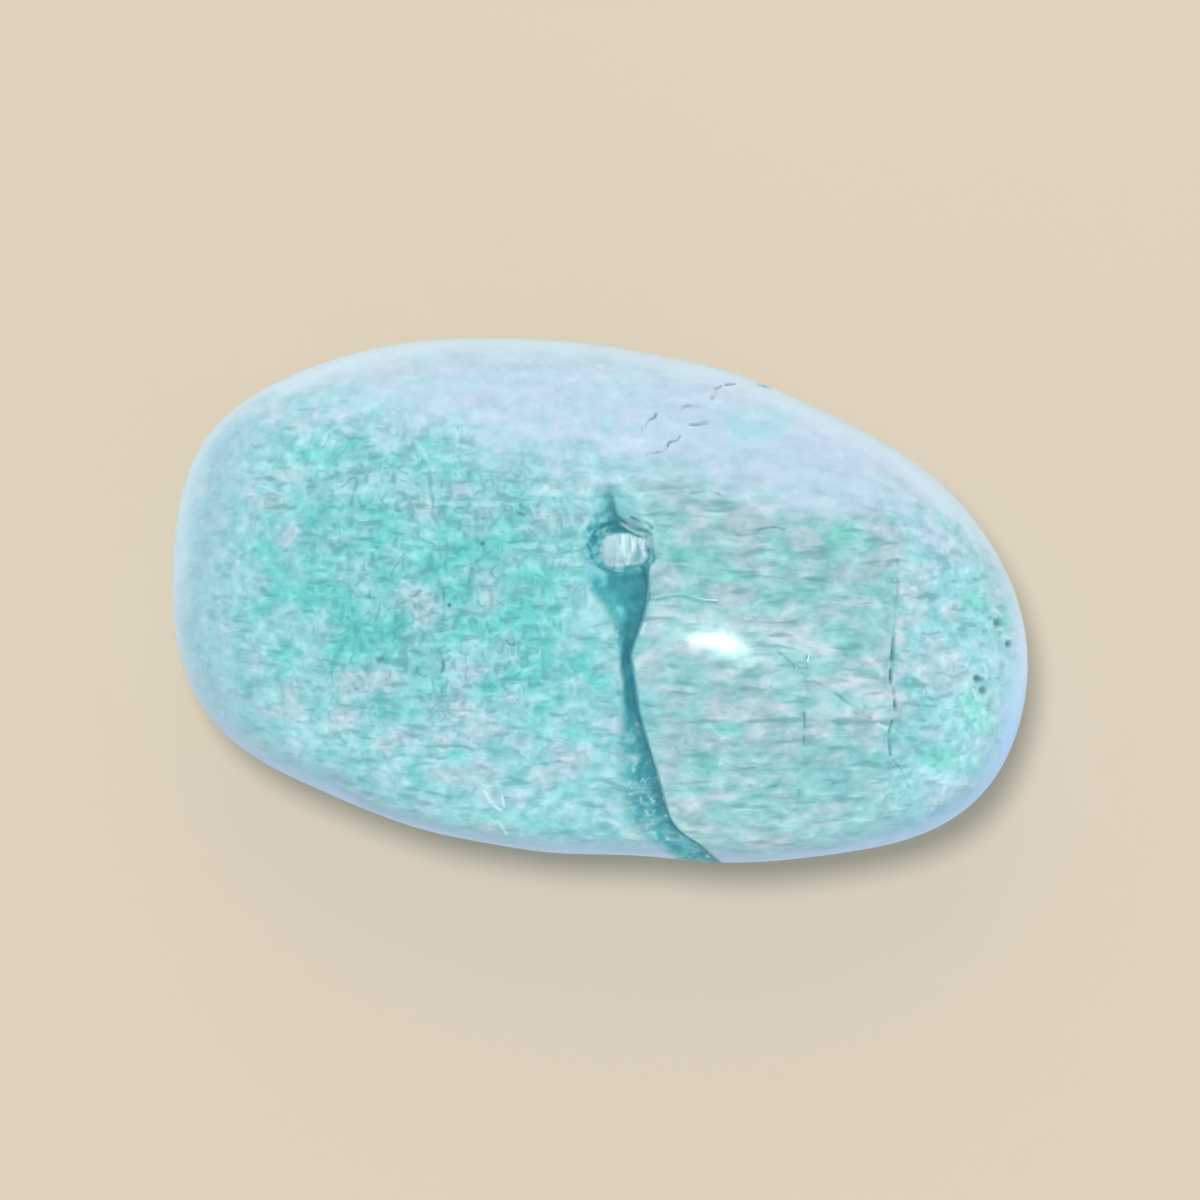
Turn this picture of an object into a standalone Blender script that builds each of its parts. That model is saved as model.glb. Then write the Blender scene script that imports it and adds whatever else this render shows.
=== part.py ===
"""Tumbled chrysocolla: one flattened, polished pebble of blue-green stone.

It lies on a small flat worn under its belly. Its crown carries an open seam that runs from near
the middle to the lower rim, a round vug with a raised floor at the head of that seam, three thin
cracks and a few pits at the right-hand end.

Sizes below are in millimetres, in the stone's own frame: +X along its length, +Y across it, +Z up,
with the origin under the middle of its box, on the surface that it lies on.
"""

import math
from collections import namedtuple

import bmesh
import bpy
import numpy as np
from mathutils import Vector, noise

MM = 0.001
TINY = 1e-9

Flat = namedtuple("Flat", "azimuth elevation depth")
Pit = namedtuple("Pit", "x y radius depth")

# The blank: its outline, crown and belly
# Radii of the girdle, the stone's widest outline, at equal angles round from +X towards +Y.
GIRDLE_RADII = (
    16.8, 15.0, 12.9, 11.4, 10.6, 10.1, 10.2, 10.8,
    12.1, 13.9, 16.2, 17.3, 17.1, 16.5, 14.3, 12.3,
    11.0, 10.3, 10.2, 10.8, 12.1, 14.3, 16.9, 17.6,
)
HALF_LENGTH = 17.1
HALF_WIDTH = 10.5
CROWN_HEIGHT = 6.0
BELLY_DEPTH = 5.8
# 2 makes an ellipse in section, and more makes it squarer.
CROWN_FULLNESS = 2.25
BELLY_FULLNESS = 2.35
RESTING_FLAT_DEPTH = 0.16

# Broad, soft flats that tumbling wore on the blank, by facing direction in degrees.
WORN_FLATS = (
    Flat(azimuth=76, elevation=64, depth=0.30),
    Flat(azimuth=257, elevation=62, depth=0.30),
    Flat(azimuth=352, elevation=40, depth=0.20),
    Flat(azimuth=170, elevation=46, depth=0.35),
    Flat(azimuth=35, elevation=-52, depth=0.40),
    Flat(azimuth=212, elevation=-48, depth=0.35),
    Flat(azimuth=285, elevation=-55, depth=0.25),
)
FLAT_SOFTNESS = 0.5
SWELL_HEIGHT = 0.14
SWELL_SIZE = 5.5

# The seam: x, y, how far its floor ramps up to the left, depth. Its right wall is steep.
SEAM = (
    (0.20, 4.60, 0.25, 0.08),
    (0.45, 3.95, 0.60, 0.25),
    (0.75, 3.25, 1.00, 0.38),
    (1.60, 1.60, 1.50, 0.42),
    (1.85, 0.60, 1.90, 0.55),
    (1.75, -0.25, 1.35, 0.55),
    (1.50, -1.10, 0.80, 0.42),
    (1.10, -2.20, 0.38, 0.30),
    (1.25, -3.30, 0.48, 0.32),
    (1.40, -4.30, 0.50, 0.32),
    (1.85, -5.80, 0.75, 0.34),
    (2.30, -7.20, 1.10, 0.38),
    (2.65, -8.60, 1.40, 0.38),
    (3.20, -9.35, 0.90, 0.30),
    (4.30, -10.00, 0.30, 0.06),
)
SEAM_WALL_RUN = 0.20

# The vug: an oval ring cut round a raised floor that leans to the lower right.
VUG_X, VUG_Y = 0.85, 2.10
VUG_HALF_LENGTH, VUG_HALF_WIDTH = 1.25, 1.10
# Depths from its middle out, at shares of its size.
VUG_PROFILE = ((0.0, 0.12), (0.45, 0.18), (0.76, 0.42), (0.90, 0.50), (1.06, 0.0))
VUG_FOOT = VUG_PROFILE[3][0]
VUG_FLOOR_LEAN_X, VUG_FLOOR_LEAN_Y = 0.05, -0.12

# Thin cracks, each a route of x, y.
RIGHT_CRACK = (
    (11.80, 1.10), (11.60, -0.55), (11.55, -2.55), (11.62, -3.95),
    (11.40, -5.50), (11.60, -6.25), (12.20, -7.35),
)
UPPER_CRACK = ((1.65, 6.75), (2.10, 7.35), (3.75, 7.65), (4.60, 8.10), (5.20, 8.55), (6.80, 8.55))
LOWER_CRACK = ((2.00, 5.75), (2.75, 5.95), (3.10, 6.45), (4.35, 7.05))
CRACKS = (RIGHT_CRACK, UPPER_CRACK, LOWER_CRACK)
CRACK_HALF_WIDTH = 0.16
CRACK_DEPTH = 0.15

PITS = (
    Pit(x=15.85, y=-0.90, radius=0.28, depth=0.12),
    Pit(x=16.25, y=-1.75, radius=0.24, depth=0.10),
    Pit(x=14.85, y=-3.15, radius=0.26, depth=0.12),
    Pit(x=15.15, y=-3.70, radius=0.28, depth=0.12),
)

# The mesh: a ball of even triangles, split where the stone has small forms.
BALL_LEVEL = 5
EDGE_BY_SEAM = 0.36
EDGE_BY_CRACK = 0.30
EDGE_BY_PIT = 0.16
EDGE_GROWTH = 1.2
MOST_SPLITS = 6
ROUTE_STEPS = 5
RING_POINTS = 32
SETTLING_REACH = 0.07
SHORTEST_EDGE = 0.02

STONE_COLOUR = (0.28, 0.62, 0.64, 1.0)
STONE_ROUGHNESS = 0.25


def clear_scene():
    for obj in list(bpy.data.objects):
        bpy.data.objects.remove(obj)


def smooth_step(share):
    """0 below 0, 1 above 1, and an even S between them."""
    share = np.clip(share, 0.0, 1.0)
    return share * share * (3.0 - 2.0 * share)


def girdle_radius(angle):
    """The girdle's radius at each plan angle: the smoothest closed curve through its radii."""
    count = len(GIRDLE_RADII)
    total = np.zeros_like(angle)
    for index, radius in enumerate(GIRDLE_RADII):
        turn = angle - 2.0 * math.pi * index / count
        half_tangent = np.tan(turn / 2.0)
        near = np.abs(half_tangent) < TINY
        half_tangent = np.where(near, 1.0, half_tangent)
        weight = np.sin(count * turn / 2.0) / (count * half_tangent)
        total += radius * np.where(near, 1.0, weight)
    return total


def blank_points(directions):
    """Points of the blank along each direction from its centre, before any wear."""
    level = np.hypot(directions[:, 0], directions[:, 1])
    height = np.abs(directions[:, 2])
    up = directions[:, 2] > 0.0
    fullness = np.where(up, CROWN_FULLNESS, BELLY_FULLNESS)
    reach = (level**fullness + height**fullness) ** (-1.0 / fullness)
    angle = np.arctan2(directions[:, 1], directions[:, 0])
    radius = girdle_radius(angle) * level * reach
    rise = np.where(up, CROWN_HEIGHT, -BELLY_DEPTH) * height * reach
    return np.column_stack((radius * np.cos(angle), radius * np.sin(angle), rise))


def facing(azimuth, elevation):
    """The direction at an azimuth and an elevation in degrees."""
    turn, tilt = math.radians(azimuth), math.radians(elevation)
    return np.array((
        math.cos(tilt) * math.cos(turn),
        math.cos(tilt) * math.sin(turn),
        math.sin(tilt),
    ))


def outward(points):
    """Outward directions of an ellipsoid of the blank's size, which the surface nearly follows."""
    normals = points / np.array((HALF_LENGTH**2, HALF_WIDTH**2, CROWN_HEIGHT**2))
    return normals / np.linalg.norm(normals, axis=1)[:, None]


def wear_flats(points):
    """Pushes in what stands past each flat, with a soft edge round it."""
    for flat in WORN_FLATS:
        normal = facing(flat.azimuth, flat.elevation)
        reach = points @ normal
        past = reach - (reach.max() - flat.depth)
        push = (past + np.sqrt(past**2 + FLAT_SOFTNESS**2)) / 2.0
        points = points - push[:, None] * normal
    return points


def swell(points):
    """Slow, low waves all over, as on any stone that was never cut."""
    heights = [SWELL_HEIGHT * noise.noise(Vector(point / SWELL_SIZE)) for point in points]
    return points + outward(points) * np.array(heights)[:, None]


def worn_blank(directions):
    return swell(wear_flats(blank_points(directions)))


def smooth_route(route):
    """Points of a smooth curve through a route, ROUTE_STEPS to each of its spans."""
    knots = np.array(route, float)
    first, last = 2 * knots[0] - knots[1], 2 * knots[-1] - knots[-2]
    knots = np.vstack((first, knots, last))
    points = []
    for before, start, end, after in zip(knots, knots[1:], knots[2:], knots[3:]):
        for step in range(ROUTE_STEPS):
            t = step / ROUTE_STEPS
            points.append(0.5 * (
                2 * start
                + (end - before) * t
                + (2 * before - 5 * start + 4 * end - after) * t**2
                + (3 * start - before - 3 * end + after) * t**3
            ))
    points.append(knots[-2])
    return np.array(points)


def vug_ring(share):
    """A closed route round the vug, at a share of its size."""
    angles = np.linspace(0.0, 2.0 * math.pi, RING_POINTS + 1)
    x = VUG_X + share * VUG_HALF_LENGTH * np.cos(angles)
    y = VUG_Y + share * VUG_HALF_WIDTH * np.sin(angles)
    return np.column_stack((x, y))


def nearest_on(route, x, y):
    """How far each x, y is from a route, above 0 to the right of it, and the route's values there.

    The routes run towards -Y, so their right-hand side is the one at +X.
    """
    best = np.full(len(x), np.inf)
    side = np.ones(len(x))
    found = np.zeros((len(x), route.shape[1]))
    for start, end in zip(route, route[1:]):
        run_x, run_y = end[0] - start[0], end[1] - start[1]
        share = ((x - start[0]) * run_x + (y - start[1]) * run_y) / (run_x**2 + run_y**2)
        here = start + np.clip(share, 0.0, 1.0)[:, None] * (end - start)
        away_x, away_y = x - here[:, 0], y - here[:, 1]
        gap = np.hypot(away_x, away_y)
        closer = gap < best
        right = away_y * run_x - away_x * run_y >= 0.0
        best = np.where(closer, gap, best)
        side = np.where(closer, np.where(right, 1.0, -1.0), side)
        found[closer] = here[closer]
    return best * side, found


def seam_depth(x, y):
    """A floor that ramps down from the left to a steep wall on the right."""
    across, here = nearest_on(smooth_route(SEAM), x, y)
    ramp_run, depth = here[:, 2], here[:, 3]
    left = smooth_step(1.0 + across / ramp_run)
    right = 1.0 - across / SEAM_WALL_RUN
    return depth * np.clip(np.where(across < 0.0, left, right), 0.0, 1.0)


def vug_share(x, y):
    """How far out each x, y is from the vug's middle, as a share of its size."""
    return np.hypot((x - VUG_X) / VUG_HALF_LENGTH, (y - VUG_Y) / VUG_HALF_WIDTH)


def vug_depth(x, y):
    share = vug_share(x, y)
    shares, depths = zip(*VUG_PROFILE)
    lean = VUG_FLOOR_LEAN_X * (x - VUG_X) + VUG_FLOOR_LEAN_Y * (y - VUG_Y)
    return np.interp(share, shares, depths) + lean * smooth_step(2.0 * (VUG_FOOT - share))


def crack_depth(x, y):
    depth = np.zeros(len(x))
    for route in CRACKS:
        across, _ = nearest_on(smooth_route(route), x, y)
        depth = np.maximum(depth, CRACK_DEPTH * (1.0 - np.abs(across) / CRACK_HALF_WIDTH))
    return depth


def pit_depth(x, y):
    depth = np.zeros(len(x))
    for pit in PITS:
        share = np.hypot(x - pit.x, y - pit.y) / pit.radius
        depth = np.maximum(depth, pit.depth * smooth_step(1.2 - share))
    return depth


def carve(points):
    """Sinks the seam, the vug, the cracks and the pits into the crown.

    The seam opens into the ring of the vug, but doesn't cross the floor inside it.
    """
    x, y = points[:, 0], points[:, 1]
    vug = vug_depth(x, y)
    depth = np.max((seam_depth(x, y), crack_depth(x, y), pit_depth(x, y), vug), axis=0)
    depth = np.where(vug_share(x, y) < VUG_FOOT, vug, depth)
    depth = np.where(points[:, 2] > 0.0, depth, 0.0)
    return points - outward(points) * depth[:, None]


def wanted_edge(points):
    """How long a mesh edge may be at each point: short beside small forms, long elsewhere."""
    x, y = points[:, 0], points[:, 1]
    across, here = nearest_on(smooth_route(SEAM), x, y)
    past_seam = np.where(across < 0.0, -across - here[:, 2], across - SEAM_WALL_RUN)
    past_vug = np.hypot(x - VUG_X, y - VUG_Y) - VUG_HALF_LENGTH
    lengths = [(EDGE_BY_SEAM, past_seam), (EDGE_BY_SEAM, past_vug)]
    for route in CRACKS:
        past_crack = np.abs(nearest_on(smooth_route(route), x, y)[0]) - CRACK_HALF_WIDTH
        lengths.append((EDGE_BY_CRACK, past_crack))
    for pit in PITS:
        lengths.append((EDGE_BY_PIT, np.hypot(x - pit.x, y - pit.y) - pit.radius))
    wanted = [length + EDGE_GROWTH * np.clip(past, 0.0, None) for length, past in lengths]
    return np.where(points[:, 2] > 0.0, np.min(wanted, axis=0), np.inf)


def places_of(mesh):
    return np.array([vertex.co for vertex in mesh.verts])


def directions_of(mesh):
    places = places_of(mesh)
    return places / np.linalg.norm(places, axis=1)[:, None]


def ends_of(mesh):
    """The vertex numbers at the two ends of each edge."""
    mesh.verts.index_update()
    pairs = np.array([[vertex.index for vertex in edge.verts] for edge in mesh.edges])
    return pairs[:, 0], pairs[:, 1]


def move_to(mesh, places):
    for vertex, place in zip(mesh.verts, places):
        vertex.co = place


def split_long_edges(mesh):
    """Splits the ball's edges that are too long for the form they will carry."""
    for _ in range(MOST_SPLITS):
        points = worn_blank(directions_of(mesh))
        first, second = ends_of(mesh)
        starts, stops = points[first], points[second]
        too_long = np.linalg.norm(stops - starts, axis=1) > wanted_edge((starts + stops) / 2.0)
        chosen = [edge for edge, long in zip(mesh.edges, too_long) if long]
        if not chosen:
            return
        bmesh.ops.subdivide_edges(mesh, edges=chosen, cuts=1)
        for vertex in mesh.verts:
            vertex.co.normalize()
        bmesh.ops.triangulate(mesh, faces=mesh.faces[:])


def crease_lines():
    """Routes along which the surface bends sharply, each with how far to its right it does."""
    seam = smooth_route(SEAM)
    lines = [(seam, 0.0), (seam, SEAM_WALL_RUN)]
    for route in CRACKS:
        crack = smooth_route(route)
        lines += [(crack, -CRACK_HALF_WIDTH), (crack, 0.0), (crack, CRACK_HALF_WIDTH)]
    lines += [(vug_ring(share), 0.0) for share, _ in VUG_PROFILE[1:]]
    return lines


def settle_on_creases(points):
    """Slides points that lie close to a crease sideways onto it."""
    points = points.copy()
    loose = points[:, 2] > 0.0
    for route, offset in crease_lines():
        across, here = nearest_on(route, points[:, 0], points[:, 1])
        close = loose & (np.abs(across - offset) < SETTLING_REACH) & (np.abs(across) > TINY)
        pull = (offset / across[close])[:, None]
        middle = here[close, :2]
        points[close, :2] = middle + (points[close, :2] - middle) * pull
        loose &= ~close
    return points


def cut_along(mesh, route, offset):
    """Adds mesh edges along a crease, wherever it crosses a triangle."""
    points = places_of(mesh)
    across = nearest_on(route, points[:, 0], points[:, 1])[0] - offset
    first, second = ends_of(mesh)
    clear = np.minimum(np.abs(across[first]), np.abs(across[second])) > SHORTEST_EDGE
    crossed = clear & (across[first] * across[second] < 0.0)
    share = across[first] / np.where(crossed, across[first] - across[second], 1.0)
    middle = points[first] + share[:, None] * (points[second] - points[first])
    missed_by = np.abs(nearest_on(route, middle[:, 0], middle[:, 1])[0] - offset)
    crossed &= (missed_by < SETTLING_REACH) & (middle[:, 2] > 0.0)
    edges = mesh.edges[:]
    added = []
    for index in np.flatnonzero(crossed):
        edge = edges[index]
        _, vertex = bmesh.utils.edge_split(edge, edge.verts[0], share[index])
        added.append(vertex)
    bmesh.ops.connect_verts(mesh, verts=added)
    bmesh.ops.triangulate(mesh, faces=[face for face in mesh.faces if len(face.verts) > 3])


def cut_resting_flat(mesh):
    """Slices the belly off level, which leaves one flat face for the stone to lie on."""
    lowest = places_of(mesh)[:, 2].min()
    cut = bmesh.ops.bisect_plane(
        mesh,
        geom=mesh.verts[:] + mesh.edges[:] + mesh.faces[:],
        plane_co=(0.0, 0.0, lowest + RESTING_FLAT_DEPTH),
        plane_no=(0.0, 0.0, -1.0),
        clear_outer=True,
    )
    rim = [item for item in cut["geom_cut"] if isinstance(item, bmesh.types.BMEdge)]
    bmesh.ops.contextual_create(mesh, geom=rim)


def centre_on_origin(mesh):
    """Puts the origin under the middle of the stone's box, level with its resting flat."""
    places = places_of(mesh)
    low, high = places.min(axis=0), places.max(axis=0)
    middle = (low + high) / 2.0
    bmesh.ops.translate(mesh, verts=mesh.verts[:], vec=(-middle[0], -middle[1], -low[2]))


def stone_material():
    material = bpy.data.materials.new("polished_chrysocolla")
    material.use_nodes = True
    shader = material.node_tree.nodes["Principled BSDF"]
    shader.inputs["Base Color"].default_value = STONE_COLOUR
    shader.inputs["Roughness"].default_value = STONE_ROUGHNESS
    shader.inputs["Metallic"].default_value = 0.0
    return material


def shape_stone(mesh):
    bmesh.ops.create_icosphere(mesh, subdivisions=BALL_LEVEL, radius=1.0)
    split_long_edges(mesh)
    move_to(mesh, settle_on_creases(worn_blank(directions_of(mesh))))
    for route, offset in crease_lines():
        cut_along(mesh, route, offset)
    bmesh.ops.dissolve_degenerate(mesh, edges=mesh.edges[:], dist=SHORTEST_EDGE)
    move_to(mesh, carve(places_of(mesh)))
    cut_resting_flat(mesh)
    centre_on_origin(mesh)
    bmesh.ops.scale(mesh, verts=mesh.verts[:], vec=(MM, MM, MM))
    bmesh.ops.recalc_face_normals(mesh, faces=mesh.faces[:])


def build_stone():
    mesh = bmesh.new()
    shape_stone(mesh)
    data = bpy.data.meshes.new("chrysocolla_stone")
    mesh.to_mesh(data)
    mesh.free()
    data.shade_smooth()
    data.set_sharp_from_angle(angle=math.radians(40))
    data.materials.append(stone_material())
    stone = bpy.data.objects.new("chrysocolla_stone", data)
    bpy.context.scene.collection.objects.link(stone)
    size = " x ".join(f"{length / MM:.1f}" for length in stone.dimensions)
    print(f"chrysocolla_stone: {size} mm, {len(data.polygons)} faces")


def main():
    clear_scene()
    build_stone()


main()
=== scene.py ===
# %% [markdown]
# # A tumbled chrysocolla
#
# Chrysocolla is a soft blue-green copper mineral. This one was tumbled with grit until it came out
# as a flat, polished pebble about 34 mm long. A chalky powder-blue skin wraps its far side, and
# there a painted sheen of the light behind it adds to its paleness. Its rim is painted pale as a
# reflection. The body is turquoise, mottled and crackled at one end and banded at the other, and
# an open teal seam with a small round vug at its head crosses the crown.
#
# The stone is one piece. It is built in three steps: its form, from a ball that is shaped by
# formulas; its small forms, sunk into a mesh that is finer beside them; and its colours, in one
# material. Lengths in this file are in millimetres, and the mesh is scaled to metres at the end.

import math
from collections import namedtuple

import bmesh
import bpy
import numpy as np
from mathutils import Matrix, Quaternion, Vector, noise


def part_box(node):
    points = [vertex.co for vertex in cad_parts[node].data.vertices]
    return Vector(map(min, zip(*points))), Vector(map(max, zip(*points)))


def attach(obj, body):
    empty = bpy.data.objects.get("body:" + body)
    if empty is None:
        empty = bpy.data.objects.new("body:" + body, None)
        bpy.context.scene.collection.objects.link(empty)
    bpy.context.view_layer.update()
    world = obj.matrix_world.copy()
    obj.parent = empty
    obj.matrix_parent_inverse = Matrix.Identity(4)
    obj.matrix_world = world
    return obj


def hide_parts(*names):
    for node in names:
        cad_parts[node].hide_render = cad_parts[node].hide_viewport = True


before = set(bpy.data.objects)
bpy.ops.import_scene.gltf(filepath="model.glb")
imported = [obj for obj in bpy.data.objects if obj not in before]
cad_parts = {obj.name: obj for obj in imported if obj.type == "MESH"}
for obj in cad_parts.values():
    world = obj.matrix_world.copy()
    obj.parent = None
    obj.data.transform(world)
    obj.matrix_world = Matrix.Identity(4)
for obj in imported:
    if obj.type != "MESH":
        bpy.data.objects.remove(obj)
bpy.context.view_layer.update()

MM = 0.001
NODE = "chrysocolla_stone"
box_low, box_high = (np.array(corner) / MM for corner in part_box(NODE))
print("box of the solid in mm:", box_low.round(2), box_high.round(2))


# %% [markdown]
# ## Shader maths in Python
#
# A shader is a graph of small nodes, and written out as nodes its sums are hard to follow. The
# class below wraps one socket. Sums on it add Math nodes, so a mask can be written as it is
# thought of: `1.0 - skin` is how much of a place the skin leaves bare. Every mask here runs from
# 0 to 1, and the value of every noise swings about 0.5.

# %% A socket that takes part in sums
class Wire:
    """One output in a node tree."""

    def __init__(self, tree, socket):
        self.tree, self.socket = tree, socket

    def node(self, kind, settings=None, inputs=None, output=0):
        """Adds a node: its settings are set first, then its sockets get their values or links."""
        made = self.tree.nodes.new(kind)
        for name, setting in (settings or {}).items():
            if name == "stops":
                self.set_stops(made.color_ramp, setting)
            else:
                setattr(made, name, setting)
        for name, given in (inputs or {}).items():
            if isinstance(given, Wire):
                self.tree.links.new(given.socket, made.inputs[name])
            else:
                made.inputs[name].default_value = given
        return Wire(self.tree, made.outputs[output])

    @staticmethod
    def set_stops(ramp, stops):
        while len(ramp.elements) < len(stops):
            ramp.elements.new(1.0)
        for element, (position, tone) in zip(ramp.elements, stops):
            element.position = position
            element.color = tone

    def maths(self, operation, *values):
        return self.node("ShaderNodeMath", {"operation": operation}, dict(enumerate(values)))

    def __add__(self, other):
        return self.maths("ADD", self, other)

    def __radd__(self, other):
        return self.maths("ADD", other, self)

    def __sub__(self, other):
        return self.maths("SUBTRACT", self, other)

    def __rsub__(self, other):
        return self.maths("SUBTRACT", other, self)

    def __mul__(self, other):
        return self.maths("MULTIPLY", self, other)

    def __rmul__(self, other):
        return self.maths("MULTIPLY", other, self)

    def between(self, low, high):
        """0 at low, 1 at high, and an even S between them. low may be the larger."""
        return self.node(
            "ShaderNodeMapRange",
            {"interpolation_type": "SMOOTHSTEP"},
            {"Value": self, "From Min": low, "From Max": high},
        )

    def most(self, other):
        return self.maths("MAXIMUM", self, other)

    def least(self, other):
        return self.maths("MINIMUM", self, other)

    def __abs__(self):
        return self.maths("ABSOLUTE", self)


print("Wire is ready")

# %% Coordinates and noise in one line each
def stretched(place, x, y, z):
    """Coordinates whose pattern is x, y and z times as fine along each axis."""
    return place.node("ShaderNodeMapping", inputs={"Vector": place, "Scale": (x, y, z)})


def shifted(place, x, y, z):
    """Coordinates a little way off, for a noise that shares nothing with one at the same place."""
    return place.node("ShaderNodeMapping", inputs={"Vector": place, "Location": (x, y, z)})


def cloud(place, scale, detail, roughness=0.55, output="Fac"):
    """Soft random patches, scale of them to a millimetre."""
    return place.node(
        "ShaderNodeTexNoise",
        {"noise_dimensions": "3D"},
        {"Vector": place, "Scale": scale, "Detail": detail, "Roughness": roughness},
        output,
    )


def moved(place, push, amount):
    """Coordinates pushed about by a colour, whose middle grey leaves them where they are."""
    centred = place.node(
        "ShaderNodeVectorMath", {"operation": "SUBTRACT"}, {0: push, 1: (0.5, 0.5, 0.5)}
    )
    return place.node(
        "ShaderNodeVectorMath",
        {"operation": "MULTIPLY_ADD"},
        {0: centred, 1: (amount, amount, amount), 2: place},
    )


print("coordinates and noise are ready")

# %% Mixes and ramps in one line each
def mixed(base, over, factor, blend="MIX"):
    """One colour over another, or multiplied into it, by a factor."""
    return factor.node(
        "ShaderNodeMix",
        {"data_type": "RGBA", "blend_type": blend},
        {"Factor": factor, "A": base, "B": over},
        "Result",
    )


def ramp(value, *stops):
    """Colours along a value, each stop a position and a colour."""
    return value.node("ShaderNodeValToRGB", {"stops": stops}, {"Fac": value}, "Color")


print("mixes and ramps are ready")

# %% [markdown]
# ## Camera and floor
#
# The stone is seen from straight above with a long lens, so its outline shows with no perspective
# to speak of. The photograph's frame spans 48 mm at the girdle, the stone's widest height. The
# floor is one plain, pale sheet, because it only has to take the shadow.

# %% Camera
FRAME_WIDTH = 48.0
GIRDLE_HEIGHT = 5.7
LENS, SENSOR = 200.0, 36.0
CLIP_START = 10.0
camera_data = bpy.data.cameras.new("camera")
camera_data.lens = LENS
camera_data.sensor_width = SENSOR
camera_data.clip_start = CLIP_START * MM
camera = bpy.data.objects.new("camera", camera_data)
bpy.context.scene.collection.objects.link(camera)
camera_height = GIRDLE_HEIGHT + FRAME_WIDTH * LENS / SENSOR
camera.location = (0.0, 0.0, camera_height * MM)
bpy.context.scene.camera = camera
print(f"camera {camera_height:.0f} mm above the floor")

# %% Colours as they look on a screen
def colour(red, green, blue):
    """A colour given as it looks on a screen, 0 to 255, as the linear one that shaders use."""
    shares = np.array((red, green, blue)) / 255.0
    linear = np.where(shares <= 0.04045, shares / 12.92, ((shares + 0.055) / 1.055) ** 2.4)
    return (*linear.tolist(), 1.0)


bpy.context.scene.view_settings.view_transform = "Standard"
FLOOR_COLOUR = colour(225, 208, 186)
print("floor colour, linear:", np.round(FLOOR_COLOUR, 3))

# %% Floor
FLOOR_SIZE = 3000.0
floor_mesh = bmesh.new()
bmesh.ops.create_grid(floor_mesh, x_segments=1, y_segments=1, size=FLOOR_SIZE * MM / 2.0)
floor_data = bpy.data.meshes.new("floor")
floor_mesh.to_mesh(floor_data)
floor_mesh.free()
floor = bpy.data.objects.new("floor", floor_data)
bpy.context.scene.collection.objects.link(floor)

floor_material = bpy.data.materials.new("pale_floor")
floor_material.use_nodes = True
floor_shader = floor_material.node_tree.nodes["Principled BSDF"]
floor_shader.inputs["Base Color"].default_value = FLOOR_COLOUR
floor_shader.inputs["Roughness"].default_value = 0.9
floor_shader.inputs["Specular IOR Level"].default_value = 0.1
floor_data.materials.append(floor_material)
print("floor", FLOOR_SIZE, "mm wide")


# %% [markdown]
# ## Light
#
# Polished stone shows every lamp twice: as light on its colours and as a mirror image on its
# crown. So each lamp here does one job. A wide one almost overhead gives the short, soft shadow
# below and to the right, and is left out of the reflections, because a polished crown would show
# it as a glare. A second panel behind the stone is mirrored in the far slope of the crown. A
# third stands low in front, and its cold light turns the near side of the rim blue. A small one
# near the lens makes the one sharp highlight and lights nothing else. The walls of the studio
# fill in the rest.

# %% Lamps
def add_panel(name, direction, distance, size, watts, tint, turn=0.0):
    """An oval lamp that faces the stone from a direction, at a distance in millimetres."""
    lamp_data = bpy.data.lights.new(name, "AREA")
    lamp_data.shape = "ELLIPSE"
    lamp_data.size, lamp_data.size_y = size[0] * MM, size[1] * MM
    lamp_data.energy = watts
    lamp_data.color = tint
    lamp = bpy.data.objects.new(name, lamp_data)
    bpy.context.scene.collection.objects.link(lamp)
    toward = Vector(direction).normalized()
    lamp.location = toward * distance * MM + Vector((0.0, 0.0, GIRDLE_HEIGHT * MM))
    aim = toward.to_track_quat("Z", "Y") @ Quaternion((0.0, 0.0, 1.0), math.radians(turn))
    lamp.rotation_euler = aim.to_euler()
    lamp.visible_camera = False
    print(f"{name}: {watts} W from {tuple(round(part, 2) for part in toward)}")
    return lamp


# %% The four lamps
WARM, COOL = (1.0, 0.985, 0.96), (0.90, 0.96, 1.0)
WHITE, BLUE = (1.0, 1.0, 1.0), (0.72, 0.87, 1.0)
overhead_lamp = add_panel(
    "overhead_lamp", direction=(-0.10, 0.15, 1.0), distance=420.0, size=(95.0, 95.0),
    watts=0.90, tint=WARM,
)
overhead_lamp.visible_glossy = False
add_panel(
    "far_panel", direction=(-0.05, 0.95, 1.0), distance=500.0, size=(260.0, 260.0),
    watts=0.15, tint=COOL,
)
small_panel = add_panel(
    "small_panel", direction=(0.152, -0.069, 0.97), distance=250.0, size=(11.0, 38.0),
    watts=0.055, tint=WHITE, turn=20.0,
)
small_panel.visible_diffuse = False
low_panel = add_panel(
    "low_panel", direction=(0.66, -0.70, 0.12), distance=350.0, size=(260.0, 60.0),
    watts=0.28, tint=BLUE,
)
low_panel.visible_glossy = False

# %% Walls
# The studio's pale walls are brighter than its ceiling. They light the stone's steep rim.
CEILING, WALLS = 0.31, 1.55
WALL_TINT = (0.89, 0.96, 1.04, 1.0)
world = bpy.data.worlds.new("studio")
world.use_nodes = True
world_start = Wire(world.node_tree, None)
direction = world_start.node("ShaderNodeTexCoord", output="Generated")
rise = direction.node("ShaderNodeSeparateXYZ", inputs={"Vector": direction}, output="Z")
lowness = 1.0 - rise.most(0.0)
glow = CEILING + (WALLS - CEILING) * lowness * lowness
background = world.node_tree.nodes["Background"]
background.inputs["Color"].default_value = WALL_TINT
world.node_tree.links.new(glow.socket, background.inputs["Strength"])
bpy.context.scene.world = world
print("ceiling", CEILING, "walls", WALLS)


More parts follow.
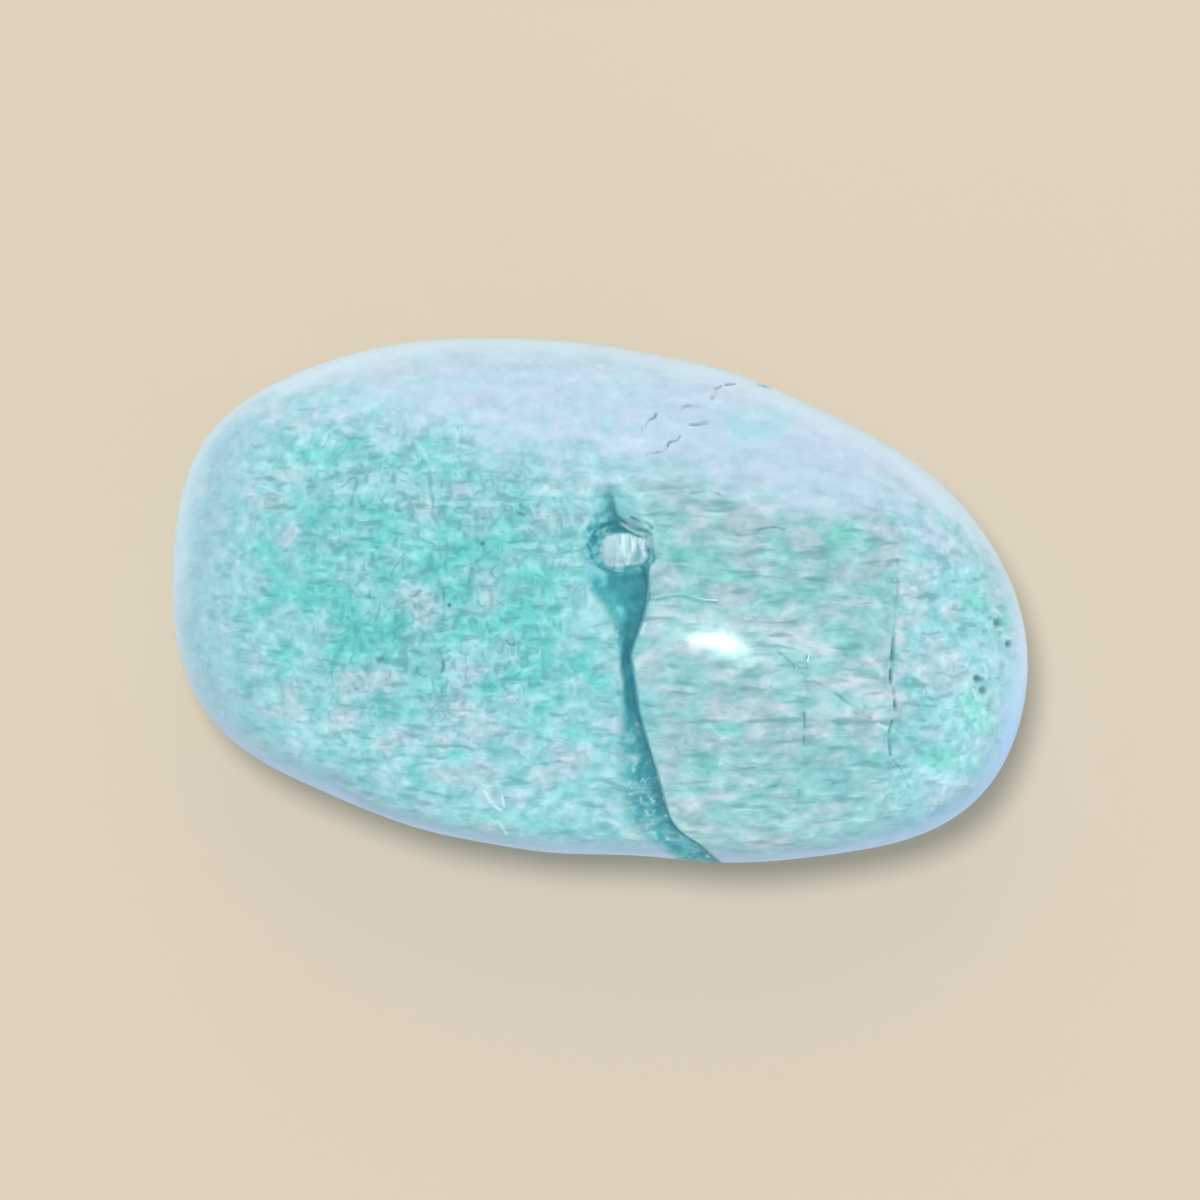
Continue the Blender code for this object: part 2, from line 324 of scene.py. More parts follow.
# %% [markdown]
# ## The blank
#
# A tumbled stone has no flat sides and no straight edges, yet it isn't an egg either. Its outline
# is given by its radii at equal angles, read from the photograph, and joined by the smoothest
# closed curve through them. Its section is a superellipse, a little squarer than an ellipse, with
# a crown and a belly of their own height. Broad, soft flats and a slow swell take away the
# machine-made evenness.
#
# All of it is a formula from a direction to a point, so a ball of any fineness can be given the
# stone's form.

# %% Outline and section
GIRDLE_RADII = (
    16.8, 15.0, 12.9, 11.4, 10.6, 10.1, 10.2, 10.8,
    12.1, 13.9, 16.2, 17.3, 17.1, 16.5, 14.3, 12.3,
    11.0, 10.3, 10.2, 10.8, 12.1, 14.3, 16.9, 17.6,
)
HALF_LENGTH = 17.1
HALF_WIDTH = 10.5
CROWN_HEIGHT = 6.0
BELLY_DEPTH = 5.8
CROWN_FULLNESS = 2.25
BELLY_FULLNESS = 2.35
TINY = 1e-9


def girdle_radius(angle):
    """The girdle's radius at each plan angle: the smoothest closed curve through its radii."""
    count = len(GIRDLE_RADII)
    total = np.zeros_like(angle)
    for index, radius in enumerate(GIRDLE_RADII):
        turn = angle - 2.0 * math.pi * index / count
        half_tangent = np.tan(turn / 2.0)
        near = np.abs(half_tangent) < TINY
        half_tangent = np.where(near, 1.0, half_tangent)
        weight = np.sin(count * turn / 2.0) / (count * half_tangent)
        total += radius * np.where(near, 1.0, weight)
    return total


def blank_points(directions):
    """Points of the blank along each direction from its centre, before any wear."""
    level = np.hypot(directions[:, 0], directions[:, 1])
    height = np.abs(directions[:, 2])
    up = directions[:, 2] > 0.0
    fullness = np.where(up, CROWN_FULLNESS, BELLY_FULLNESS)
    reach = (level**fullness + height**fullness) ** (-1.0 / fullness)
    angle = np.arctan2(directions[:, 1], directions[:, 0])
    radius = girdle_radius(angle) * level * reach
    rise = np.where(up, CROWN_HEIGHT, -BELLY_DEPTH) * height * reach
    return np.column_stack((radius * np.cos(angle), radius * np.sin(angle), rise))


print("girdle", min(GIRDLE_RADII), "to", max(GIRDLE_RADII), "mm from its centre")

# %% Worn flats
Flat = namedtuple("Flat", "azimuth elevation depth")
WORN_FLATS = (
    Flat(azimuth=76, elevation=64, depth=0.30),
    Flat(azimuth=257, elevation=62, depth=0.30),
    Flat(azimuth=352, elevation=40, depth=0.20),
    Flat(azimuth=170, elevation=46, depth=0.35),
    Flat(azimuth=35, elevation=-52, depth=0.40),
    Flat(azimuth=212, elevation=-48, depth=0.35),
    Flat(azimuth=285, elevation=-55, depth=0.25),
)
FLAT_SOFTNESS = 0.5


def facing(azimuth, elevation):
    """The direction at an azimuth and an elevation in degrees."""
    turn, tilt = math.radians(azimuth), math.radians(elevation)
    return np.array((
        math.cos(tilt) * math.cos(turn),
        math.cos(tilt) * math.sin(turn),
        math.sin(tilt),
    ))


def wear_flats(points):
    """Pushes in what stands past each flat, with a soft edge round it."""
    for flat in WORN_FLATS:
        normal = facing(flat.azimuth, flat.elevation)
        reach = points @ normal
        past = reach - (reach.max() - flat.depth)
        push = (past + np.sqrt(past**2 + FLAT_SOFTNESS**2)) / 2.0
        points = points - push[:, None] * normal
    return points


print(len(WORN_FLATS), "worn flats")

# %% The slow swell
SWELL_HEIGHT = 0.14
SWELL_SIZE = 5.5


def waves(points, size):
    """Smooth random heights between about -1 and 1, in waves of a size."""
    return np.array([noise.noise(Vector(point / size)) for point in points])


def outward(points):
    """Outward directions of an ellipsoid of the blank's size, which the surface nearly follows."""
    normals = points / np.array((HALF_LENGTH**2, HALF_WIDTH**2, CROWN_HEIGHT**2))
    return normals / np.linalg.norm(normals, axis=1)[:, None]


def worn_blank(directions):
    """Points of the worn stone along each direction: the blank with its flats and its swell."""
    points = wear_flats(blank_points(directions))
    return points + outward(points) * SWELL_HEIGHT * waves(points, SWELL_SIZE)[:, None]


print("the swell is", SWELL_HEIGHT, "mm high")


# %% [markdown]
# ## The seam and the vug
#
# The seam is a teal vein that tumbling has hollowed. Its floor ramps down from the left and ends
# at a steep wall on the right, so from above the wall shows as a dark line. The vug at its head
# is a hole where crystals grew: a ring cut round a raised, glassy floor.
#
# They could be cut out with booleans, but a blade of that shape is harder to make than the
# hollow. Here each is a depth as a function of x and y, and the crown is lowered by it along its
# outward direction. Each point of the seam's route carries x, y, the width of the ramp and the
# depth. The values repeat the solid's.

# %% A soft step and a smooth route
ROUTE_STEPS = 5


def smooth_step(share):
    """0 below 0, 1 above 1, and an even S between them."""
    share = np.clip(share, 0.0, 1.0)
    return share * share * (3.0 - 2.0 * share)


def smooth_route(route):
    """Points of a smooth curve through a route, ROUTE_STEPS to each of its spans."""
    knots = np.array(route, float)
    first, last = 2 * knots[0] - knots[1], 2 * knots[-1] - knots[-2]
    knots = np.vstack((first, knots, last))
    points = []
    for before, start, end, after in zip(knots, knots[1:], knots[2:], knots[3:]):
        for step in range(ROUTE_STEPS):
            t = step / ROUTE_STEPS
            points.append(0.5 * (
                2 * start
                + (end - before) * t
                + (2 * before - 5 * start + 4 * end - after) * t**2
                + (3 * start - before - 3 * end + after) * t**3
            ))
    points.append(knots[-2])
    return np.array(points)


print("a route gets", ROUTE_STEPS, "points to each of its spans")

# %% How far a place is from a route
def nearest_on(route, x, y):
    """How far each x, y is from a route, above 0 to the right of it, and the route's values there.

    The routes run towards -Y, so their right-hand side is the one at +X.
    """
    best = np.full(len(x), np.inf)
    side = np.ones(len(x))
    found = np.zeros((len(x), route.shape[1]))
    for start, end in zip(route, route[1:]):
        run_x, run_y = end[0] - start[0], end[1] - start[1]
        share = ((x - start[0]) * run_x + (y - start[1]) * run_y) / (run_x**2 + run_y**2)
        here = start + np.clip(share, 0.0, 1.0)[:, None] * (end - start)
        away_x, away_y = x - here[:, 0], y - here[:, 1]
        gap = np.hypot(away_x, away_y)
        closer = gap < best
        right = away_y * run_x - away_x * run_y >= 0.0
        best = np.where(closer, gap, best)
        side = np.where(closer, np.where(right, 1.0, -1.0), side)
        found[closer] = here[closer]
    return best * side, found


print("distances count as above 0 to the right of a route")

# %% The seam
SEAM = smooth_route((
    (0.20, 4.60, 0.25, 0.08),
    (0.45, 3.95, 0.60, 0.25),
    (0.75, 3.25, 1.00, 0.38),
    (1.60, 1.60, 1.50, 0.42),
    (1.85, 0.60, 1.90, 0.55),
    (1.75, -0.25, 1.35, 0.55),
    (1.50, -1.10, 0.80, 0.42),
    (1.10, -2.20, 0.38, 0.30),
    (1.25, -3.30, 0.48, 0.32),
    (1.40, -4.30, 0.50, 0.32),
    (1.85, -5.80, 0.75, 0.34),
    (2.30, -7.20, 1.10, 0.38),
    (2.65, -8.60, 1.40, 0.38),
    (3.20, -9.35, 0.90, 0.30),
    (4.30, -10.00, 0.30, 0.06),
))
SEAM_WALL_RUN = 0.20


def seam_shares(x, y):
    """How sunken the seam's floor is at each place, 0 to 1, and its full depth there."""
    across, here = nearest_on(SEAM, x, y)
    ramp_run, depth = here[:, 2], here[:, 3]
    left = smooth_step(1.0 + across / ramp_run)
    right = np.clip(1.0 - across / SEAM_WALL_RUN, 0.0, 1.0)
    return np.where(across < 0.0, left, right), depth


print(f"seam {np.linalg.norm(np.diff(SEAM[:, :2], axis=0), axis=1).sum():.1f} mm long")

# %% The vug
VUG_X, VUG_Y = 0.85, 2.10
VUG_HALF_LENGTH, VUG_HALF_WIDTH = 1.25, 1.10
VUG_PROFILE = ((0.0, 0.12), (0.45, 0.18), (0.76, 0.42), (0.90, 0.50), (1.06, 0.0))
VUG_FOOT = VUG_PROFILE[3][0]
VUG_FLOOR_LEAN_X, VUG_FLOOR_LEAN_Y = 0.05, -0.12


def vug_share(x, y):
    """How far out each x, y is from the vug's middle, as a share of its size."""
    return np.hypot((x - VUG_X) / VUG_HALF_LENGTH, (y - VUG_Y) / VUG_HALF_WIDTH)


def vug_depth(x, y):
    """How deep the vug is at each x, y, with its floor leaning a little."""
    share = vug_share(x, y)
    shares, depths = zip(*VUG_PROFILE)
    lean = VUG_FLOOR_LEAN_X * (x - VUG_X) + VUG_FLOOR_LEAN_Y * (y - VUG_Y)
    return np.interp(share, shares, depths) + lean * smooth_step(2.0 * (VUG_FOOT - share))


print("vug", 2 * VUG_HALF_LENGTH, "by", 2 * VUG_HALF_WIDTH, "mm")


# %% [markdown]
# ## Cracks, pits and scratches
#
# The cracks are old breaks that polishing has worn to thin grooves, the pits are pinheads where a
# grain fell out, and the scratches are only marks. A dark line in the colour alone would do from
# straight above, but it would lie flat in a raking light and be missing from the mesh. So cracks
# and pits are V grooves and dimples as well as colours. Long cracks are never whole: polishing
# closes them here and there, and a noise along them leaves the same gaps in the groove and in its
# colour.
#
# The long crack, the two chains in the skin and the four pits repeat the solid's. The others
# exist only here, because they are finer than the solid's triangles.

# %% Where the cracks run
Crack = namedtuple("Crack", "half_width depth darkness route")
CRACKS = (
    # The long crack near the right end, and the ridge and the hairlines that meet it.
    Crack(0.12, 0.06, 0.4, ((11.78, 1.60), (11.76, 0.45), (11.62, -0.55), (11.60, -1.50))),
    Crack(0.12, 0.11, 1.0, (
        (11.60, -1.50), (11.52, -2.50), (11.48, -3.20), (11.60, -3.70), (11.68, -4.30),
    )),
    Crack(0.10, 0.08, 0.7, ((11.54, -4.76), (11.42, -5.40), (11.50, -6.10))),
    Crack(0.09, 0.05, 0.4, ((11.60, -6.30), (11.96, -6.76), (12.22, -7.36))),
    Crack(0.09, 0.05, 0.5, (
        (7.00, -2.00), (7.62, -2.52), (8.22, -3.05), (9.20, -3.60), (10.00, -4.20), (10.66, -4.64),
    )),
    Crack(0.08, 0.04, 0.4, ((8.14, -2.16), (8.20, -3.56))),
    Crack(0.10, 0.05, 0.7, ((8.06, -4.40), (8.08, -5.00), (8.04, -5.64))),
    Crack(0.10, 0.05, 0.6, ((7.90, -7.46), (7.80, -8.20))),
    Crack(0.08, 0.04, 0.5, ((4.90, -6.35), (5.55, -6.62), (6.10, -6.60))),
    Crack(0.09, 0.04, 0.6, ((5.90, -7.30), (6.50, -7.42), (7.00, -7.30))),
    Crack(0.09, 0.04, 0.6, ((9.20, -7.24), (9.70, -7.14))),
    Crack(0.09, 0.04, 0.7, ((10.20, -6.54), (10.62, -6.38))),
    Crack(0.09, 0.04, 0.6, ((9.90, -4.30), (10.30, -4.52), (10.80, -4.44))),
    Crack(0.10, 0.04, 0.3, ((2.30, 0.00), (3.20, 0.14), (4.10, -0.10), (4.60, -0.12))),
    Crack(0.08, 0.04, 0.5, ((3.60, 4.20), (4.40, 4.26), (5.00, 4.02))),
    Crack(0.08, 0.04, 0.5, ((6.10, 2.70), (6.90, 2.86), (7.50, 2.66))),
    # Short breaks in the skin, in two chains.
    Crack(0.10, 0.09, 0.9, ((5.05, 8.56), (5.40, 8.62))),
    Crack(0.11, 0.08, 0.6, ((4.62, 8.40), (4.85, 8.50))),
    Crack(0.12, 0.08, 0.8, ((4.50, 8.02), (4.64, 8.14))),
    Crack(0.11, 0.06, 0.6, ((4.16, 7.02), (4.30, 6.98))),
    Crack(0.10, 0.09, 0.9, ((6.40, 8.58), (6.62, 8.56), (6.85, 8.48))),
    Crack(0.10, 0.08, 1.0, ((3.30, 7.60), (3.56, 7.70), (3.95, 7.66))),
    Crack(0.09, 0.08, 0.9, ((2.26, 7.34), (2.20, 7.20), (1.98, 7.08), (1.84, 6.86))),
    Crack(0.08, 0.06, 0.7, ((1.52, 6.96), (1.72, 6.72))),
    Crack(0.09, 0.08, 0.8, ((4.30, 7.06), (4.00, 6.94), (3.60, 6.92))),
    Crack(0.09, 0.06, 0.9, ((3.20, 6.44), (3.06, 6.30), (2.80, 6.22), (2.70, 6.04))),
    Crack(0.08, 0.06, 0.7, ((2.66, 5.94), (2.30, 5.80), (1.90, 5.74))),
    # The crackled end: strokes of a millimetre or less.
    Crack(0.09, 0.02, 0.6, ((-9.58, 4.56), (-9.66, 4.10), (-9.74, 3.70))),
    Crack(0.08, 0.01, 0.4, ((-9.70, 3.20), (-9.74, 2.20))),
    Crack(0.09, 0.01, 0.5, ((-8.58, 3.96), (-8.20, 3.58), (-7.78, 3.52), (-7.26, 4.04))),
    Crack(0.09, 0.01, 0.6, ((-6.50, 3.62), (-5.90, 3.68), (-5.38, 3.62))),
    Crack(0.09, 0.02, 0.9, ((-3.30, 3.50), (-3.06, 3.36), (-2.90, 3.34))),
    Crack(0.10, 0.02, 0.9, ((-2.60, 3.08), (-2.42, 3.04))),
    Crack(0.09, 0.01, 0.5, ((-3.58, 2.24), (-2.60, 2.32), (-1.58, 2.28))),
    Crack(0.07, 0.01, 0.5, ((-5.10, 3.20), (-5.08, 2.50))),
    Crack(0.07, 0.01, 0.5, ((-4.82, 3.30), (-4.84, 2.56))),
    Crack(0.07, 0.01, 0.5, ((-4.54, 3.24), (-4.52, 2.60))),
    Crack(0.07, 0.01, 0.4, ((-4.24, 3.34), (-4.28, 2.70))),
    Crack(0.09, 0.02, 0.7, ((-7.80, -0.16), (-7.40, 0.04), (-6.96, 0.36))),
    Crack(0.09, 0.02, 0.6, ((-7.92, -0.18), (-7.98, -0.66))),
    Crack(0.08, 0.01, 0.6, ((-6.98, -0.34), (-6.60, -0.50), (-6.28, -0.52))),
    Crack(0.10, 0.02, 0.9, ((-5.78, -0.18), (-5.64, 0.02), (-5.50, 0.30))),
    Crack(0.08, 0.01, 0.5, ((-6.10, 0.44), (-6.06, -0.30), (-6.12, -0.96))),
    Crack(0.09, 0.01, 0.7, ((-8.98, 0.36), (-9.04, 0.08))),
    Crack(0.12, 0.02, 1.0, ((-8.64, -2.42), (-8.50, -2.26), (-8.40, -2.08))),
    Crack(0.12, 0.02, 1.0, ((-6.12, -2.40), (-6.08, -2.60), (-6.16, -2.82))),
    Crack(0.12, 0.02, 1.0, ((-3.60, -1.62), (-3.40, -1.74), (-3.18, -1.68))),
    Crack(0.09, 0.01, 0.7, ((-4.38, -0.92), (-4.26, -1.26))),
    Crack(0.08, 0.01, 0.45, ((-12.10, 0.34), (-11.50, -0.10), (-11.20, -0.50), (-10.70, -0.96))),
    Crack(0.08, 0.01, 0.45, ((-11.60, 0.57), (-10.70, 0.74), (-9.86, 0.84))),
    # The terraced lips of the vug and the sill below it. The dark lines just above the eye are
    # partly the cracks' colour and partly a painted shadow of the upper lip.
    Crack(0.12, 0.10, 0.9, ((0.42, 4.20), (0.50, 3.76), (0.66, 3.40), (0.86, 3.14))),
    Crack(0.10, 0.10, 1.0, ((0.80, 3.28), (1.12, 3.04), (1.50, 2.86), (1.88, 2.74), (2.06, 2.58))),
    Crack(0.09, 0.08, 1.0, ((1.28, 3.26), (1.62, 3.10), (1.92, 3.02), (2.08, 2.82))),
    Crack(0.10, 0.10, 1.0, ((0.30, 2.74), (0.74, 2.86), (1.10, 2.74), (1.48, 2.58), (1.90, 2.52))),
    Crack(0.14, 0.09, 0.9, ((2.10, 2.40), (2.14, 1.90), (2.16, 1.60), (1.98, 1.28), (1.72, 1.02))),
    Crack(0.06, 0.05, 0.4, ((-0.44, 1.52), (0.26, 1.22), (1.10, 1.02), (1.62, 1.06))),
)
print(len(CRACKS), "cracks")

# %% How near a place is to a thin line
NEAR = 0.6


def gap_to(line, x, y):
    """How far each x, y is from a thin line, for those near it. The others only count as far."""
    route = smooth_route(line.route)
    low, high = route.min(axis=0) - NEAR, route.max(axis=0) + NEAR
    near = (x > low[0]) & (x < high[0]) & (y > low[1]) & (y < high[1])
    gap = np.full(len(x), NEAR)
    gap[near] = np.minimum(np.abs(nearest_on(route, x[near], y[near])[0]), NEAR)
    return gap


print("lines reach", NEAR, "mm to each side")

# %% How dark and deep the cracks are
BREAK_SIZE, BREAK_STRENGTH, MOSTLY_LEFT = 0.45, 1.2, 0.70
FAINTEST = 0.15
VUG_REACH = 2.2


def left_of_lines(x, y):
    """How much of a thin line polishing has left at each x, y, 0 to 1."""
    values = [noise.noise(Vector((a, b, 0.0)) / BREAK_SIZE) for a, b in zip(x, y)]
    return smooth_step(MOSTLY_LEFT + BREAK_STRENGTH * np.array(values))


def crack_values(x, y):
    """How dark a crack makes each x, y, 0 to 1, and how deep."""
    dark, depth = np.zeros(len(x)), np.zeros(len(x))
    for crack in CRACKS:
        here = np.clip(1.0 - gap_to(crack, x, y) / crack.half_width, 0.0, 1.0)
        dark = np.maximum(dark, here * crack.darkness)
        depth = np.maximum(depth, here * crack.depth)
    lined = dark > 0.0
    in_vug = smooth_step(VUG_REACH - vug_share(x[lined], y[lined]))
    left = np.maximum(left_of_lines(x[lined], y[lined]), in_vug)
    dark[lined] *= FAINTEST + (1.0 - FAINTEST) * left
    depth[lined] *= left
    return dark, depth


middle_dark, middle_depth = crack_values(np.array([11.60]), np.array([-2.0]))
print(f"the long crack at its middle: dark {middle_dark[0]:.2f}, {middle_depth[0]:.3f} mm deep")

# %% Pits
# A pit fades out a little past its radius.
PIT_EDGE = 1.2
Pit = namedtuple("Pit", "x y radius depth")
PITS = (
    Pit(x=15.85, y=-0.90, radius=0.22, depth=0.12),
    Pit(x=16.30, y=-1.75, radius=0.18, depth=0.10),
    Pit(x=15.00, y=-3.12, radius=0.20, depth=0.12),
    Pit(x=15.22, y=-3.60, radius=0.22, depth=0.12),
    Pit(x=-5.86, y=-0.20, radius=0.12, depth=0.06),
    Pit(x=-4.55, y=2.20, radius=0.12, depth=0.06),
)


def pit_values(x, y):
    """How far into a pit each x, y is, 0 to 1, and its depth."""
    share, depth = np.zeros(len(x)), np.zeros(len(x))
    for pit in PITS:
        here = smooth_step(PIT_EDGE - np.hypot(x - pit.x, y - pit.y) / pit.radius)
        share = np.maximum(share, here)
        depth = np.maximum(depth, here * pit.depth)
    return share, depth


print(len(PITS), "pits")

# %% Scratches, pale specks and painted glints
SPECK_EDGE = 1.3
Speck = namedtuple("Speck", "half_width paleness route")
SPECKS = (
    Speck(0.07, 1.0, ((-4.50, -7.55), (-4.25, -8.00), (-3.88, -8.30))),
    Speck(0.06, 0.9, ((-3.86, -7.55), (-3.74, -8.15))),
    Speck(0.06, 0.8, ((-3.98, -8.75), (-3.66, -9.28))),
    # A painted highlight on the vug's upper left lip.
    Speck(0.10, 0.9, ((-0.54, 3.20), (-0.46, 3.00))),
    Speck(0.09, 0.8, ((1.80, -0.96), (1.66, -1.24))),
    # The next four are the pale rims round the pits at the right end: painted glints.
    Speck(0.08, 0.6, ((15.52, -0.55), (15.72, -0.40), (16.02, -0.62))),
    Speck(0.07, 0.5, ((16.10, -1.45), (16.40, -1.50))),
    Speck(0.08, 0.5, ((14.98, -2.50), (15.30, -2.62), (15.34, -3.10))),
    Speck(0.07, 0.5, ((14.80, -3.55), (14.98, -3.92), (15.30, -3.98))),
    Speck(0.09, 0.7, ((4.62, 7.84), (4.82, 7.84))),
    Speck(0.08, 0.6, ((5.10, 8.44), (5.45, 8.48))),
    Speck(0.05, 0.6, ((1.84, -8.40), (1.98, -8.64))),
    Speck(0.05, 0.6, ((1.66, -7.85), (1.70, -8.05))),
    Speck(0.06, 0.7, ((10.95, -4.85), (11.30, -5.05))),
)


def paleness(x, y):
    """How pale a scratch, a speck or a painted glint makes each x, y, 0 to 1."""
    pale = np.zeros(len(x))
    for speck in SPECKS:
        share = smooth_step(SPECK_EDGE - gap_to(speck, x, y) / speck.half_width)
        pale = np.maximum(pale, speck.paleness * share)
    return pale


print(len(SPECKS), "scratches and specks")

# %% [markdown]
# ## Where the placed colours lie
#
# A noise can make mottling, but it can't know where the seam's lining, the glassy eye of the vug
# or the largest clouds of this stone lie. Painting them on an image would need an unwrapped
# surface. Instead each of them is a function of x and y too, and its value is stored on the
# points of the mesh, where the material reads it.

# %% The teal lining of the seam
# At each y: where the lining starts on the left, where it ends on the right, and how soft its
# left edge is.
LINING = np.array((
    (4.60, 0.30, 0.62, 0.5), (4.20, 0.20, 0.62, 0.5), (3.64, -0.10, 0.64, 0.5),
    (3.08, -0.35, 0.82, 0.6), (2.80, -0.45, 1.15, 0.6), (2.56, -0.55, 1.62, 0.6),
    (2.04, -0.62, 2.02, 0.5), (1.60, -0.55, 2.02, 0.5), (1.12, -0.45, 1.96, 0.5),
    (0.44, -0.30, 1.92, 0.6), (-0.36, 0.25, 1.82, 0.7), (-0.96, 0.55, 1.66, 0.7),
    (-1.56, 0.80, 1.44, 0.6), (-2.20, 0.82, 1.28, 0.5), (-3.20, 0.94, 1.44, 0.4),
    (-4.30, 0.92, 1.60, 0.6), (-5.20, 0.90, 1.82, 0.9), (-6.40, 0.90, 2.16, 1.2),
    (-7.60, 1.00, 2.50, 1.3), (-8.60, 1.20, 2.78, 1.3), (-9.20, 1.70, 3.20, 1.2),
    (-9.70, 2.30, 4.00, 1.0), (-10.20, 3.00, 4.60, 0.9), (-10.70, 3.40, 5.20, 0.9),
))
RIGHT_BLUR = 0.22
SHADE_WIDTH = 0.75


def lining_values(x, y):
    """How much of the lining is at each x, y, and how much of its shaded right edge, 0 to 1."""
    left, right, blur = (np.interp(y, LINING[::-1, 0], column) for column in LINING[::-1, 1:].T)
    lining = smooth_step((x - left) / blur + 0.5) * smooth_step((right - x) / RIGHT_BLUR + 0.5)
    lining = np.where((y > LINING[-1, 0]) & (y < LINING[0, 0]), lining, 0.0)
    shade = lining * smooth_step((x - right + SHADE_WIDTH) / SHADE_WIDTH)
    return lining, shade


print(f"lining {LINING[0, 0] - LINING[-1, 0]:.1f} mm from end to end")

# %% The glassy eye of the vug
EYE_X, EYE_Y, EYE_HALF_LENGTH, EYE_HALF_WIDTH = 0.93, 1.98, 0.98, 0.70
EYE_EDGE, EYE_SOFTNESS = 1.28, 0.56


def eye_share(x, y):
    """How much of the glassy eye, quartz with a painted reflection on it, is at each x, y, 0 to 1.
    """
    share = np.hypot((x - EYE_X) / EYE_HALF_LENGTH, (y - EYE_Y) / EYE_HALF_WIDTH)
    return smooth_step((EYE_EDGE - share) / EYE_SOFTNESS)


print("eye", 2 * EYE_HALF_LENGTH, "by", 2 * EYE_HALF_WIDTH, "mm")

